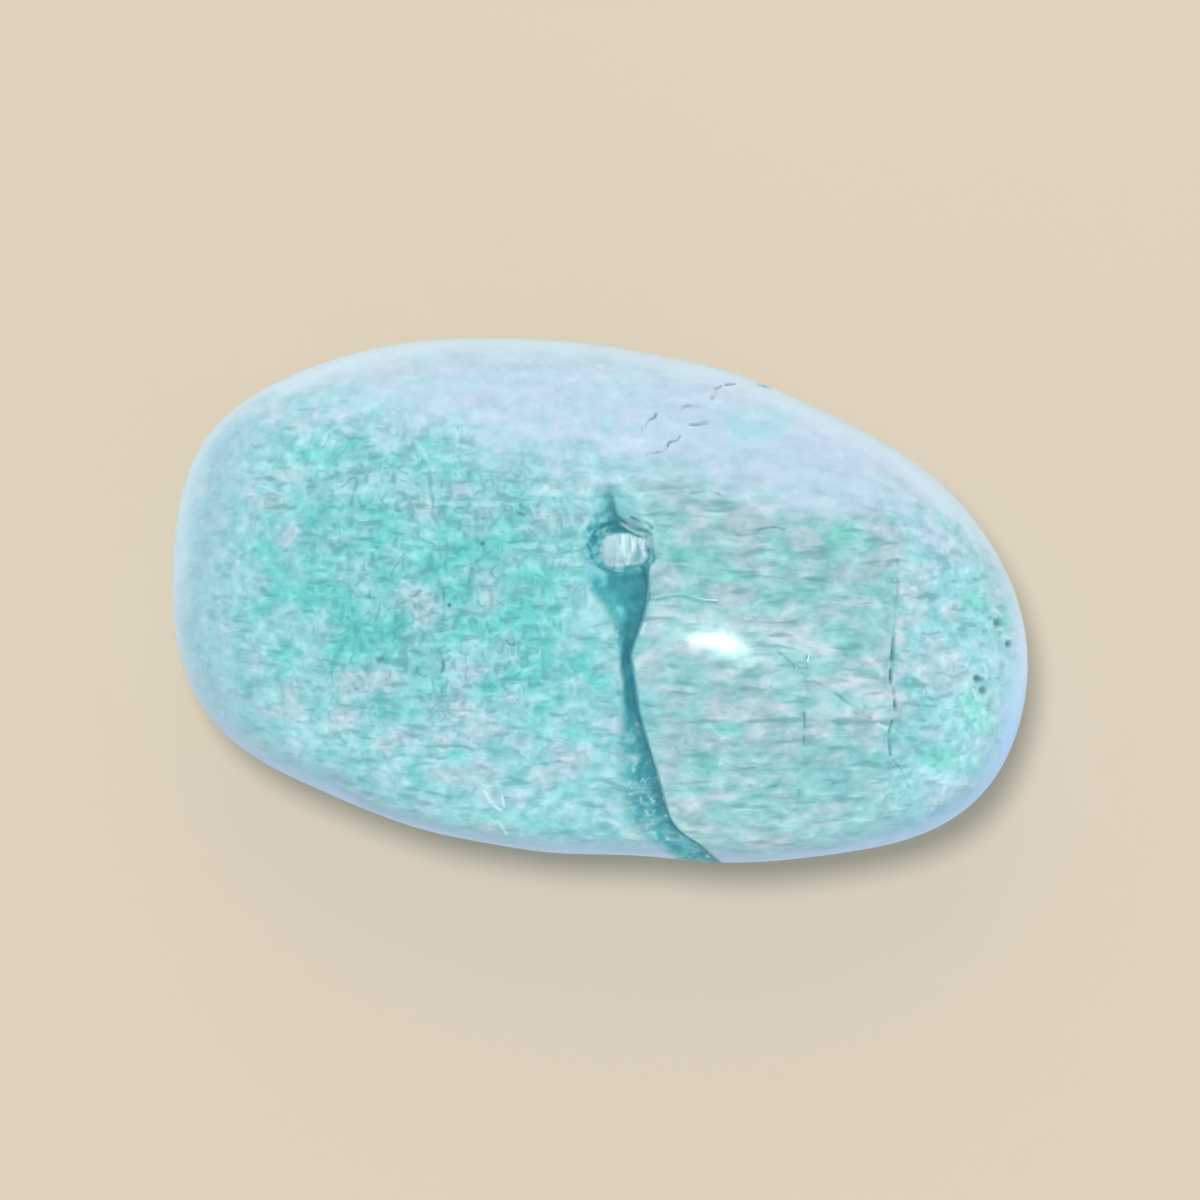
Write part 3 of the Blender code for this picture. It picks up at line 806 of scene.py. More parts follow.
# %% Green, lilac, light and dark clouds
CLOUD_EDGE, CLOUD_SOFTNESS = 1.6, 1.2
Cloud = namedtuple("Cloud", "x y half_length half_width tint light")
CLOUDS = tuple(Cloud(*row) for row in (
    # The broad ones.
    (-7.5, 1.0, 5.5, 3.0, 0.45, 0.0), (-2.8, -1.6, 2.4, 2.4, 0.40, 0.1),
    (-5.0, -5.6, 5.0, 1.5, -0.25, 0.6), (-13.2, 5.6, 1.8, 1.6, 0.0, 0.7),
    (-9.8, 6.2, 2.4, 1.0, 0.1, 0.5), (4.0, 3.6, 2.6, 1.3, -0.2, 0.5),
    (-1.0, 3.6, 1.6, 0.9, -0.2, 0.5), (3.6, -2.4, 1.4, 1.2, -0.2, 0.5),
    (15.0, -3.0, 1.8, 3.6, 0.3, 0.7), (12.4, 1.8, 1.8, 1.2, -0.2, 0.4),
    (6.5, -5.4, 3.0, 1.2, -0.35, 0.0), (-11.5, -5.0, 2.4, 1.2, -0.1, 0.5),
    (12.1, 0.3, 0.4, 0.6, -0.3, 2.2), (11.9, -2.0, 0.2, 1.2, -0.3, 2.0),
    # The two on the next line, (11.0, -4.7) and (10.4, -3.9) are a painted highlight: the glow and
    # the tail that the small lamp's highlight throws along the ridge.
    (9.2, -3.2, 1.1, 0.3, -0.2, 1.6), (7.3, -1.8, 1.6, 0.7, -0.2, 2.6),
    (11.0, -4.7, 0.4, 0.4, -0.2, 1.6), (1.0, 1.16, 1.3, 0.16, 0.0, 2.0),
    (0.9, -0.5, 0.6, 0.8, 1.0, 0.3), (1.0, 0.7, 0.6, 0.3, 0.0, -0.8),
    (0.2, 3.3, 0.5, 0.5, -0.3, 0.3),
    (10.4, -3.9, 1.2, 0.8, -0.2, 1.6), (-7.4, -1.6, 1.2, 1.0, 0.3, -1.2),
    (-13.0, -4.2, 1.2, 1.2, 0.4, -0.4), (-10.4, -6.4, 1.4, 0.8, 0.1, -1.5),
    (9.1, -6.4, 2.2, 0.8, 0.0, -1.4), (-2.9, 5.6, 2.2, 0.8, 0.2, -1.2),
    # Green ones.
    (-6.3, 5.35, 0.9, 0.4, 1.0, -0.2), (-10.5, 5.6, 0.6, 0.5, 0.5, 0.0),
    (-12.8, 1.6, 0.6, 0.6, 0.7, 0.0), (-12.0, 0.3, 0.9, 0.4, 0.7, 0.0),
    (-9.5, -1.4, 1.0, 0.7, 0.7, 0.0), (-10.6, -2.7, 0.5, 0.9, 0.8, 0.0),
    (-9.4, -5.5, 0.6, 0.5, 1.0, 0.0), (-7.6, -4.3, 0.7, 0.5, 0.8, 0.0),
    (-5.8, -6.3, 0.6, 0.4, 0.6, 0.0), (-4.0, 2.0, 2.4, 0.5, 0.5, -0.4),
    (-2.2, -4.2, 0.6, 0.4, 0.3, 0.0), (-0.3, -5.4, 1.2, 0.3, 0.7, 0.0),
    (9.4, 2.3, 0.9, 0.8, 0.9, 0.0), (7.1, 1.7, 0.8, 0.4, 0.8, 0.0),
    (3.6, 1.8, 0.9, 0.3, 0.9, 0.0), (5.1, 0.9, 0.9, 0.2, 0.7, 0.0),
    (5.0, -5.1, 0.6, 0.3, 1.0, 0.0), (3.9, -6.6, 0.7, 0.4, 0.9, -0.3),
    (8.5, -6.7, 1.0, 0.4, 0.6, -0.2), (14.9, -0.1, 0.6, 1.1, 0.6, 0.0),
    (14.9, -4.4, 0.6, 1.0, 0.6, 0.0), (13.4, -6.3, 0.9, 0.6, 0.6, 0.0),
    (12.0, -5.5, 0.7, 0.3, 0.6, 0.0), (6.6, 7.0, 1.3, 0.8, 0.8, 0.0),
    (-9.0, 7.6, 1.6, 1.0, 0.5, 0.0),
    # Lilac ones.
    (-12.5, 2.5, 0.6, 0.4, -0.8, 0.0), (-13.2, 3.9, 0.7, 0.4, -0.5, 0.0),
    (-7.0, 3.6, 0.7, 0.3, -0.9, 0.0), (-5.6, 4.3, 0.6, 0.4, -1.0, 0.0),
    (-6.9, -0.2, 0.9, 0.6, -1.2, 0.0), (-4.6, -0.2, 0.6, 0.6, -1.0, 0.0),
    (-9.7, -3.4, 0.8, 0.6, -1.1, 0.2), (-10.4, -4.6, 0.6, 0.5, -1.0, 0.2),
    (-8.4, -3.1, 0.7, 0.5, -0.8, 0.2), (-12.6, -4.1, 1.0, 0.8, -0.6, 0.0),
    (-6.4, -6.6, 0.6, 0.5, -0.7, 0.0), (-5.3, -2.7, 0.7, 0.7, -0.8, 0.2),
    (-1.3, -6.6, 1.0, 0.9, -0.6, 0.0), (8.0, 2.3, 0.7, 0.4, -1.0, 0.0),
    (5.1, 0.2, 1.1, 0.3, -0.9, 0.0), (11.5, 2.6, 0.9, 0.4, -0.8, 0.0),
    (6.8, -4.2, 1.0, 0.3, -0.8, 0.0), (10.5, -4.9, 0.8, 0.4, -0.8, 0.0),
    (13.6, -2.7, 0.9, 1.0, -1.0, 0.3), (9.8, 6.2, 2.0, 1.2, -0.8, -0.9),
    (-3.5, 8.4, 4.0, 1.6, -0.2, -0.5), (4.0, -8.2, 1.3, 0.5, -0.5, 0.0),
))


def cloud_values(x, y):
    """Tint, above 0 where green clouds lie and below 0 for lilac, and light, above 0 for pale or
    for a painted highlight.
    """
    tint, light = np.zeros(len(x)), np.zeros(len(x))
    for spot in CLOUDS:
        away = np.hypot((x - spot.x) / spot.half_length, (y - spot.y) / spot.half_width)
        share = smooth_step((CLOUD_EDGE - away) / CLOUD_SOFTNESS)
        tint += spot.tint * share
        light += spot.light * share
    return tint, light


print(len(CLOUDS), "clouds")


# %% [markdown]
# ## The mesh
#
# A ball of even triangles is split where the stone has small forms, and nowhere else, so the belly
# stays light and the seam gets triangles of a few hundredths of a millimetre. Each pass splits the
# edges that are longer than the form there allows. Then every vertex moves to the stone's surface,
# those beside a sharp bend slide onto it, and the small forms are sunk in. An even mesh as fine as
# the cracks would have some millions of triangles.

# %% Fineness
BALL_LEVEL = 6
CROWN_EDGE = 0.24
SEAM_EDGE, VUG_EDGE, CRACK_EDGE = 0.10, 0.05, 0.06
EDGE_GROWTH = 0.55
MOST_SPLITS = 6


def wanted_edge(points):
    """How long a mesh edge may be at each point: short beside small forms, long elsewhere."""
    x, y = points[:, 0], points[:, 1]
    across, here = nearest_on(SEAM, x, y)
    past_seam = np.where(across < 0.0, -across - here[:, 2], across - SEAM_WALL_RUN)
    past_vug = np.hypot(x - VUG_X, y - VUG_Y) - VUG_HALF_LENGTH
    allowed = [(SEAM_EDGE, past_seam), (VUG_EDGE, past_vug)]
    for line in CRACKS + SPECKS:
        allowed.append((CRACK_EDGE, gap_to(line, x, y) - line.half_width))
    for pit in PITS:
        allowed.append((CRACK_EDGE, np.hypot(x - pit.x, y - pit.y) - pit.radius))
    wanted = np.full(len(x), CROWN_EDGE)
    for edge, past in allowed:
        wanted = np.minimum(wanted, edge + EDGE_GROWTH * np.clip(past, 0.0, None))
    return np.where(points[:, 2] > 0.0, wanted, np.inf)


print("edges from", VUG_EDGE, "to", CROWN_EDGE, "mm on the crown")

# %% Where the points of a mesh lie
def places_of(mesh):
    """The places of all points of a mesh, as an array."""
    return np.array([vertex.co for vertex in mesh.verts])


def directions_of(mesh):
    """The direction of each point of a mesh from its middle."""
    places = places_of(mesh)
    return places / np.linalg.norm(places, axis=1)[:, None]


print("places and directions can be read")

# %% The ball, split where it needs to be
stone_mesh = bmesh.new()
bmesh.ops.create_icosphere(stone_mesh, subdivisions=BALL_LEVEL, radius=1.0)
for _ in range(MOST_SPLITS):
    points = worn_blank(directions_of(stone_mesh))
    stone_mesh.verts.index_update()
    ends = np.array([[vertex.index for vertex in edge.verts] for edge in stone_mesh.edges])
    starts, stops = points[ends[:, 0]], points[ends[:, 1]]
    too_long = np.linalg.norm(stops - starts, axis=1) > wanted_edge((starts + stops) / 2.0)
    chosen = [edge for edge, long in zip(stone_mesh.edges, too_long) if long]
    if not chosen:
        break
    bmesh.ops.subdivide_edges(stone_mesh, edges=chosen, cuts=1)
    for vertex in stone_mesh.verts:
        vertex.co.normalize()
    bmesh.ops.triangulate(stone_mesh, faces=stone_mesh.faces[:])
    print("split", len(chosen), "edges:", len(stone_mesh.faces), "triangles")

# %% Onto the creases
SETTLING_REACH = 0.025


def settle_on_creases(points):
    """Slides points that lie close to a bend of the seam or the foot of a crack onto it."""
    points = points.copy()
    loose = points[:, 2] > 0.0
    creases = [(SEAM, 0.0), (SEAM, SEAM_WALL_RUN)]
    creases += [(smooth_route(crack.route), 0.0) for crack in CRACKS]
    for route, offset in creases:
        low, high = route[:, :2].min(axis=0) - NEAR, route[:, :2].max(axis=0) + NEAR
        inside = np.all((points[:, :2] > low) & (points[:, :2] < high), axis=1)
        near = np.flatnonzero(loose & inside)
        gap, here = nearest_on(route, points[near, 0], points[near, 1])
        close = (np.abs(gap - offset) < SETTLING_REACH) & (np.abs(gap) > TINY)
        chosen, middle = near[close], here[close, :2]
        scale = (offset / gap[close])[:, None]
        points[chosen, :2] = middle + (points[chosen, :2] - middle) * scale
        loose[chosen] = False
    return points


points = settle_on_creases(worn_blank(directions_of(stone_mesh)))
print(len(points), "points on the worn stone")

# %% Sinking the small forms
RIPPLE_HEIGHT, RIPPLE_SIZE = 0.006, 1.7

x, y = points[:, 0], points[:, 1]
on_crown = points[:, 2] > 0.0
seam, seam_full_depth = seam_shares(x, y)
crack, crack_depth = crack_values(x, y)
pit, pit_depth = pit_values(x, y)
vug = vug_depth(x, y)
depth = np.max((seam * seam_full_depth, crack_depth, pit_depth, vug), axis=0)
depth = np.where(vug_share(x, y) < VUG_FOOT, np.maximum(vug, crack_depth), depth)
depth = np.where(on_crown, depth, 0.0)
ripple = RIPPLE_HEIGHT * waves(points, RIPPLE_SIZE)
places = points + outward(points) * (ripple - depth)[:, None]
for vertex, place in zip(stone_mesh.verts, places):
    vertex.co = place
print(f"deepest form {depth.max():.2f} mm")

# %% Rounding the ring of the vug
# Grit rounds edges that stand free, and a mesh smoothed for a few rounds does what grit does.
RING_INNER, RING_OUTER, RING_ROUNDS = 0.70, 1.25, 6
in_ring = on_crown & (vug_share(x, y) > RING_INNER) & (vug_share(x, y) < RING_OUTER)
ring = [vertex for vertex, inside in zip(stone_mesh.verts, in_ring) if inside]
for _ in range(RING_ROUNDS):
    bmesh.ops.smooth_vert(
        stone_mesh, verts=ring, factor=0.5, use_axis_x=True, use_axis_y=True, use_axis_z=True
    )
print(len(ring), "points of the ring rounded")

# %% What the material needs to know of the small forms
FADE_BELOW = 1.6
from_above = smooth_step(1.0 + points[:, 2] / FADE_BELOW)


def keep_on_points(name, values):
    """Stores a number on each point of the mesh, for the material. It fades below the girdle."""
    layer = stone_mesh.verts.layers.float.new(name)
    for vertex, value in zip(stone_mesh.verts, values * from_above):
        vertex[layer] = value


lining, shade = lining_values(x, y)
tint, light = cloud_values(x, y)
keep_on_points("lining", lining)
keep_on_points("shade", shade)
keep_on_points("eye", eye_share(x, y))
keep_on_points("crack", crack)
keep_on_points("pit", pit)
keep_on_points("pale", paleness(x, y))
keep_on_points("tint", tint)
keep_on_points("light", light)
print("stored", len(stone_mesh.verts.layers.float), "numbers on each point")

# %% [markdown]
# ## The resting flat
#
# A pebble on a table touches it at one worn spot. A plane cuts a thin slice off the belly and the
# hole is closed with one face, so the stone lies still. Then the mesh is fitted to the packed
# solid's box, because both are cut by slightly different triangles, and scaled to metres.

# %% Cutting the flat
RESTING_FLAT_DEPTH = 0.16

lowest = places_of(stone_mesh)[:, 2].min()
cut = bmesh.ops.bisect_plane(
    stone_mesh,
    geom=stone_mesh.verts[:] + stone_mesh.edges[:] + stone_mesh.faces[:],
    plane_co=(0.0, 0.0, lowest + RESTING_FLAT_DEPTH),
    plane_no=(0.0, 0.0, -1.0),
    clear_outer=True,
)
flat_rim = [item for item in cut["geom_cut"] if isinstance(item, bmesh.types.BMEdge)]
bmesh.ops.contextual_create(stone_mesh, geom=flat_rim)
print("the resting flat has", len(flat_rim), "edges")

# %% Into the solid's box
places = places_of(stone_mesh)
low, high = places.min(axis=0), places.max(axis=0)
fit = (box_high - box_low) / (high - low)
bmesh.ops.translate(stone_mesh, verts=stone_mesh.verts[:], vec=-low)
bmesh.ops.scale(stone_mesh, verts=stone_mesh.verts[:], vec=fit)
bmesh.ops.translate(stone_mesh, verts=stone_mesh.verts[:], vec=box_low)
bmesh.ops.scale(stone_mesh, verts=stone_mesh.verts[:], vec=(MM, MM, MM))
bmesh.ops.recalc_face_normals(stone_mesh, faces=stone_mesh.faces[:])
print("stretched to the solid's box by", fit.round(4), "with", len(stone_mesh.faces), "faces")

# %% The stone as an object
SHARP_ANGLE = 60
stone_data = bpy.data.meshes.new("polished_stone")
stone_mesh.to_mesh(stone_data)
stone_mesh.free()
stone_data.shade_smooth()
stone_data.set_sharp_from_angle(angle=math.radians(SHARP_ANGLE))
stone = bpy.data.objects.new("polished_stone", stone_data)
bpy.context.scene.collection.objects.link(stone)
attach(stone, "root")
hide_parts(NODE)
print("the stone rides on root in place of", NODE)


# %% [markdown]
# ## The polished stone
#
# The colours sit in the stone like smoke in glass. A picture wrapped round it would stretch at
# the rim and meet itself in a line, so every pattern here is a solid one, in millimetres of the
# stone's own coordinates, and runs round the rim and under the belly as the real ones do. The
# cells below lay one finish over another, from the body outwards, each through a mask.

# %% Coordinates in millimetres
stone_material = bpy.data.materials.new("polished_chrysocolla")
stone_material.use_nodes = True
stone_tree = stone_material.node_tree
stone_shader = stone_tree.nodes["Principled BSDF"]
stone_data.materials.append(stone_material)

start = Wire(stone_tree, None)
metres = start.node("ShaderNodeTexCoord", output="Object")
place = stretched(metres, 1.0 / MM, 1.0 / MM, 1.0 / MM)
axes = start.node("ShaderNodeSeparateXYZ", inputs={"Vector": place})
along, across, height = (Wire(stone_tree, axes.socket.node.outputs[axis]) for axis in "XYZ")


def stored(name):
    """A number that was stored on the points of the mesh."""
    return start.node("ShaderNodeAttribute", {"attribute_name": name}, output="Fac")


print("patterns are in millimetres along, across and up the stone")

# %% [markdown]
# ## The turquoise body
#
# The body is turquoise, clouded from grey-blue to mint. Left of the seam its clouds are round. To
# the right they draw out into bands, like the grain of wood. The bands could be a pattern of
# their own, but then they would start at a line. Here the coordinates themselves are squeezed
# along X, so that everything that reads them is drawn out alike, and little by little.
#
# One noise sets how light a place is. Another leans its colour towards green or towards a greyish
# lilac. The clouds placed on the mesh are added to both.

# %% Grain
GRAIN_LENGTH = 0.85
GRAIN_FROM, GRAIN_TO, GRAIN_STRETCH = 1.0, 11.0, 0.24
GRAIN_PUSH = 0.5
drawn_out = (along - GRAIN_FROM).most(0.0).least(GRAIN_TO - GRAIN_FROM)
grain = start.node(
    "ShaderNodeCombineXYZ",
    inputs={"X": GRAIN_LENGTH * along - GRAIN_STRETCH * drawn_out, "Y": across, "Z": height},
    output="Vector",
)
grain = moved(grain, cloud(grain, 0.6, 2.0, output="Color"), GRAIN_PUSH)
print("the grain is drawn out from x =", GRAIN_FROM, "to", GRAIN_TO, "mm")

# %% How light the body is
MIDDLE_TONE, MOTTLING, BROAD_CLOUDS = 0.545, 0.84, 0.10
PLACED_LIGHT, LOW_SIDE_PAINTED_LIGHT = 0.055, 0.03
banded = along.between(0.0, 3.0)
tint, light = stored("tint"), stored("light")
fine = cloud(grain, 2.0, 2.0, 0.55)
broad = cloud(shifted(grain, 5.0, 0.0, 0.0), 0.35, 1.0)
# The near side is painted a little lighter: painted light that lifts the shade the overhead lamp
# leaves there.
painted_light_near_side = across.between(-1.0, -8.0)
clouds = MOTTLING * (fine - 0.5) + BROAD_CLOUDS * (broad - 0.5)
body = ramp(
    MIDDLE_TONE + clouds + PLACED_LIGHT * light + LOW_SIDE_PAINTED_LIGHT * painted_light_near_side,
    (0.28, colour(116, 184, 186)),
    (0.40, colour(132, 199, 201)),
    (0.52, colour(147, 210, 213)),
    (0.64, colour(165, 222, 225)),
    (0.76, colour(186, 236, 238)),
)
print(len(stone_tree.nodes), "nodes with the body's clouds")

# %% How green or lilac it is
HUE_SWING, PLACED_TINT, BAND_GREYNESS = 0.70, 0.17, 0.05
GREEN, MINT = (0.50, 1.00, 0.89, 1.0), (0.60, 1.02, 0.84, 1.0)
LILAC, WARM_GREY = (1.47, 0.94, 0.99, 1.0), (1.0, 0.93, 0.91, 1.0)
GREEN_STRENGTH, LILAC_STRENGTH = 0.88, 0.75
swing = cloud(shifted(grain, 0.0, 17.0, 0.0), 0.9, 2.0, 0.5) - 0.5
hue = 0.5 + HUE_SWING * swing + PLACED_TINT * tint - BAND_GREYNESS * banded
green = hue.between(0.50, 0.70)
lilac = hue.between(0.50, 0.34)
body = mixed(body, mixed(GREEN, MINT, banded), GREEN_STRENGTH * green, "MULTIPLY")
body = mixed(body, LILAC, LILAC_STRENGTH * lilac, "MULTIPLY")
body = mixed(body, WARM_GREY, banded * along.between(13.0, 11.0), "MULTIPLY")
print(len(stone_tree.nodes), "nodes with the green and the lilac")

# %% [markdown]
# ## The crackle
#
# Under the polish the body is full of healed cracks, most of them short and soft. Drawn one by
# one they would be thousands. A noise squeezed across the stone is dark in short strokes that lie
# along it, and one squeezed along it gives the strokes that stand up at the left end. A third
# noise is dark only near its middle value, which draws thin winding threads. Where the first is
# brightest, pale glints stand between the strokes.

# %% Strokes, threads and glints
STROKE_STRENGTH, THREAD_STRENGTH, CRACKLED_THREADS = 0.8, 0.35, 0.40
CRACKLE_STRENGTH, GLINT_STRENGTH, GLINTS_ELSEWHERE = 0.62, 0.40, 0.5
lying = cloud(stretched(shifted(grain, 0.0, 0.0, 9.0), 0.55, 1.5, 1.0), 1.9, 1.0, 0.6)
standing = cloud(stretched(shifted(grain, 0.0, 0.0, 41.0), 1.5, 0.55, 1.0), 1.9, 1.0, 0.6)
winding = cloud(shifted(grain, 0.0, 0.0, 60.0), 1.5, 1.0, 0.6)
crackled = along.between(-13.5, -9.0) * along.between(1.0, -3.0) * across.between(-7.0, -3.0)
strokes = lying.between(0.48, 0.26).most(crackled * standing.between(0.47, 0.26))
threads = abs(winding - 0.5).between(0.09, 0.0) * standing.between(0.44, 0.62)
threads = (THREAD_STRENGTH + CRACKLED_THREADS * crackled) * threads
lines = (STROKE_STRENGTH * strokes).most(threads)
body = mixed(body, colour(72, 146, 148), CRACKLE_STRENGTH * lines)
glints = lying.between(0.57, 0.74) * (GLINTS_ELSEWHERE + (1.0 - GLINTS_ELSEWHERE) * crackled)
body = mixed(body, colour(186, 240, 240), GLINT_STRENGTH * glints)
print(len(stone_tree.nodes), "nodes with the crackle")

# %% [markdown]
# ## The chalky skin, the painted sheen and the painted rim
#
# The powder-blue cap is partly weathered skin that the grit hasn't worn through and partly a
# painted sheen, a pale reflection of the broad light behind the stone. Its border is streaky,
# because the weather went deeper along the grain. Round the widest part of the stone the rim is
# painted pale as a reflection of the bright surroundings, and bluer on the near side as painted
# cold light. Just above it a darker band is painted shade, where the crown turns steeply down.
# Below the rim the pale paint breaks up into tongues and flecks with the body between them. A
# border at an even height would look painted, so noises move every border up and down.

# %% The cap
CAP_LEAN, WISP_REACH, BROAD_REACH = 0.18, 4.0, 2.0
CAP_FROM, CAP_TO = 3.6, 7.0
CAP_IN_GREEN, CAP_IN_LILAC = (0.84, 1.02, 0.98, 1.0), (1.06, 0.97, 1.02, 1.0)
wisps = cloud(stretched(grain, 0.5, 1.0, 1.0), 1.5, 2.0, 0.6)
border = across + CAP_LEAN * along + WISP_REACH * (wisps - 0.5) + BROAD_REACH * (broad - 0.5)
# The cap's pale colour is partly the skin's own and partly a painted sheen, a reflection of the
# broad light behind the stone.
skin_and_sheen = border.between(CAP_FROM, CAP_TO)
skin_and_sheen_tone = ramp(
    0.4 * wisps + 0.6 * fine + 0.05 * light,
    (0.34, colour(176, 206, 219)),
    (0.52, colour(190, 216, 228)),
    (0.70, colour(204, 226, 236)),
)
skin_and_sheen_tone = mixed(skin_and_sheen_tone, CAP_IN_GREEN, green, "MULTIPLY")
skin_and_sheen_tone = mixed(skin_and_sheen_tone, CAP_IN_LILAC, lilac, "MULTIPLY")
finish = mixed(body, skin_and_sheen_tone, skin_and_sheen)
print(len(stone_tree.nodes), "nodes with the cap")

# %% The painted shade above the rim
RIM_WAVE, TONGUE_REACH = 1.2, 11.0
MARGIN_TOP, MARGIN_FULL = 8.4, 6.6
MARGIN_STRENGTH, LOW_RIM_STRENGTH = 0.62, 0.18
level_up = height + RIM_WAVE * (cloud(place, 0.5, 2.0) - 0.5)
tongues = (height + TONGUE_REACH * (cloud(place, 0.28, 3.0, 0.6) - 0.5)).between(0.8, 3.8)
low_rim = across.between(-5.0, -8.5)
wider = 1.3 * along.between(-8.0, -15.0) + 0.5 * low_rim
# A darker band painted as shade where the crown turns steeply down to the rim, darker on the near
# side.
painted_rim_shade = (1.0 - skin_and_sheen) * (level_up - wider).between(MARGIN_TOP, MARGIN_FULL) * tongues
painted_rim_shade_colour = mixed(colour(156, 197, 212), colour(130, 177, 201), low_rim)
finish = mixed(finish, painted_rim_shade_colour, (MARGIN_STRENGTH + LOW_RIM_STRENGTH * low_rim) * painted_rim_shade)
print(len(stone_tree.nodes), "nodes with the margin")

# %% The rim, painted as a reflection
EDGE_TOP, EDGE_FULL, EDGE_STRENGTH = 8.1, 6.3, 0.90
FLECKING, FLECK_LOSS = 3.2, 0.25
narrower = 0.15 * along.between(-8.0, -16.0)
higher = skin_and_sheen * (0.7 + 0.4 * along.between(4.0, 8.0))
# The pale rim is a painted reflection of the bright surroundings. Where blue is high, on the near
# side, it is painted bluer as cold light. Below the rim it breaks into tongues and flecks.
edge = (level_up + narrower - higher).between(EDGE_TOP, EDGE_FULL) * tongues
blue = across.between(-1.0, -6.0) * (level_up + 3.0 * (fine - 0.5)).between(0.5, 6.0)
painted_rim_colour = mixed(colour(216, 240, 253), colour(178, 213, 250), blue)
below = level_up.between(6.6, 4.6)
flecked = below * (FLECKING * (fine - 0.5) - FLECK_LOSS)
finish = mixed(finish, painted_rim_colour, (EDGE_STRENGTH + flecked) * edge)
print(len(stone_tree.nodes), "nodes with the rim")

# %% [markdown]
# ## The seam, the vug and the marks
#
# These read the numbers stored on the mesh, so they lie exactly where the forms do. The noises
# only fray their borders and mottle them. Without that they would look cut out with a knife.

# %% The teal lining
TEAL_IN_GREEN = (0.86, 1.05, 0.98, 1.0)
SPECKLING, FRAYING, HEAD_FAINTNESS = 1.1, 6.0, 0.75
lining = stored("lining") * (height + 3.0 * (fine - 0.5)).between(3.7, 5.0)
speckled = SPECKLING * (across.between(0.9, 1.4) * (cloud(place, 3.4, 1.0) - 0.5))
teal = ramp(
    cloud(place, 1.6, 2.0) + speckled + 0.08 * light + 0.12 * along.between(0.7, -0.3),
    (0.34, colour(64, 146, 156)),
    (0.50, colour(75, 164, 171)),
    (0.62, colour(92, 180, 186)),
    (0.76, colour(132, 203, 210)),
)
teal = mixed(teal, TEAL_IN_GREEN, 0.8 * green, "MULTIPLY")
frayed = FRAYING * lining * (1.0 - lining) * (fine - 0.5)
clear = 1.0 - HEAD_FAINTNESS * across.between(2.8, 4.4)
mottled = across.between(-3.5, -5.5) * (0.10 + 2.4 * (fine - 0.5))
lined = clear.least(1.0 - mottled) * (lining + frayed).between(0.05, 0.95)
finish = mixed(finish, teal, lined)
print(len(stone_tree.nodes), "nodes with the seam")

# %% The seam's shaded right edge and its pale flecks
SHADE_STRENGTH, FLECK_STRENGTH = 0.7, 0.6
finish = mixed(finish, colour(60, 130, 146), SHADE_STRENGTH * clear * stored("shade"))
flecks = cloud(place, 3.2, 2.0).between(0.58, 0.72) * across.between(-5.0, -7.5) * lining
finish = mixed(finish, colour(186, 230, 235), FLECK_STRENGTH * flecks)
print(len(stone_tree.nodes), "nodes with the seam's edge and flecks")

# %% The glassy eye
# Its left part is milky quartz. To the right it brightens into a painted reflection of the small
# lamp, streaked by its flutes.
MILKY_CONTRAST, SHEEN_CONTRAST = 0.5, 1.0
flutes = cloud(moved(stretched(place, 5.0, 0.9, 1.0), cloud(place, 2.0, 1.0), 1.0), 1.0, 2.0)
sheen_end = along.between(0.3, 1.5)
contrast = MILKY_CONTRAST + (SHEEN_CONTRAST - MILKY_CONTRAST) * sheen_end
quartz_and_reflection = ramp(
    0.5 + contrast * (flutes - 0.5) + 0.05 * sheen_end,
    (0.34, colour(134, 196, 205)),
    (0.46, colour(180, 216, 223)),
    (0.58, colour(210, 240, 244)),
    (0.70, colour(240, 255, 255)),
)
quartz_and_reflection = mixed(colour(190, 213, 220), quartz_and_reflection, along.between(0.0, 0.8))
eye = (stored("eye") + 1.5 * (fine - 0.5)).between(0.15, 0.85) * along.between(-0.20, 0.30)
finish = mixed(finish, quartz_and_reflection, eye)
print(len(stone_tree.nodes), "nodes with the eye")

# %% Cracks, pits, pale marks and painted glints
FAINTLY, WHERE_WORN, PIT_STRENGTH = 0.3, 0.5, 0.8
worn = cloud(shifted(place, 3.0, 0.0, 0.0), 2.0, 2.0).between(0.36, 0.58)
uneven = FAINTLY + WHERE_WORN * worn
cracks = stored("crack")
# The cracks above the vug's eye also paint the shadow of its upper lip.
finish = mixed(finish, colour(62, 116, 128), cracks * uneven)
finish = mixed(finish, colour(66, 120, 134), PIT_STRENGTH * stored("pit"))
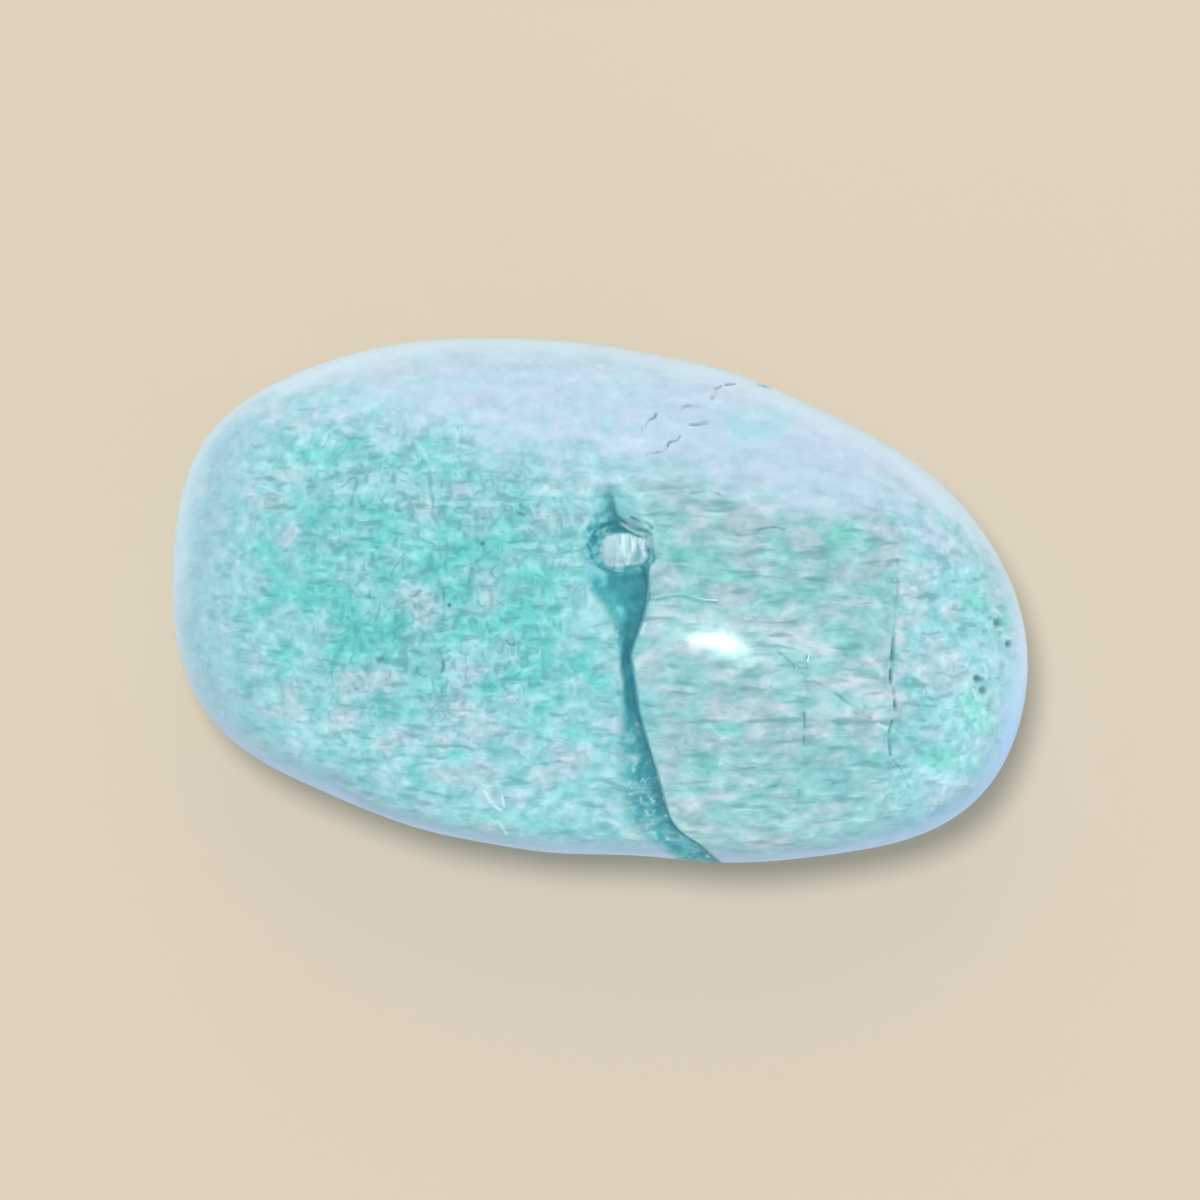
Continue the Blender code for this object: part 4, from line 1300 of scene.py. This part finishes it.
# Pale scratches and specks, and the painted glints round the pits and on the vug's lip.
finish = mixed(finish, colour(226, 244, 248), stored("pale") * uneven)
stone_tree.links.new(finish.socket, stone_shader.inputs["Base Color"])
print(len(stone_tree.nodes), "nodes with the marks")

# %% [markdown]
# ## The polish
#
# A tumble polish is smooth under a thin gloss, but not everywhere alike. Chalky skin, the seam's
# lining and the cracks take it badly, and the crown takes it best, because the stones in a barrel
# rub each other there. One even gloss would hide that, so the roughness and the coat follow the
# masks. A little light goes in under the surface, and a bump too low to be a shape keeps the
# mirror images from being perfect.

# %% Roughness and gloss
POLISHED, SKIN_DULLNESS, CRACKLE_DULLNESS, FORM_DULLNESS = 0.30, 0.14, 0.10, 0.25
GLOSS, GLOSS_LOST, EYE_GLOSS = 0.75, 0.70, 0.60
dull_forms = lining.most(cracks)
dull = POLISHED + SKIN_DULLNESS * skin_and_sheen + CRACKLE_DULLNESS * lines + FORM_DULLNESS * dull_forms
stone_tree.links.new(dull.socket, stone_shader.inputs["Roughness"])
glaze = (GLOSS - GLOSS_LOST * dull_forms + EYE_GLOSS * eye) * height.between(6.4, 8.0)
stone_tree.links.new(glaze.socket, stone_shader.inputs["Coat Weight"])
stone_shader.inputs["Coat Roughness"].default_value = 0.13
stone_shader.inputs["Metallic"].default_value = 0.0
stone_shader.inputs["Specular IOR Level"].default_value = 0.25
print("the polish follows the skin, the crackle, the lining and the cracks")

# %% Light under the surface, and ripples in the polish
LIGHT_DEPTH = (0.8, 1.2, 1.2)
POLISH_RIPPLE, RIPPLE_STRENGTH = 0.05, 0.12
stone_shader.inputs["Subsurface Weight"].default_value = 0.12
stone_shader.inputs["Subsurface Radius"].default_value = [depth * MM for depth in LIGHT_DEPTH]
stone_shader.inputs["Subsurface Scale"].default_value = 1.0
relief = start.node(
    "ShaderNodeBump",
    inputs={
        "Height": cloud(place, 2.2, 2.0),
        "Strength": RIPPLE_STRENGTH,
        "Distance": POLISH_RIPPLE * MM,
    },
)
stone_tree.links.new(relief.socket, stone_shader.inputs["Normal"])
print(len(stone_tree.nodes), "nodes in the stone's material")
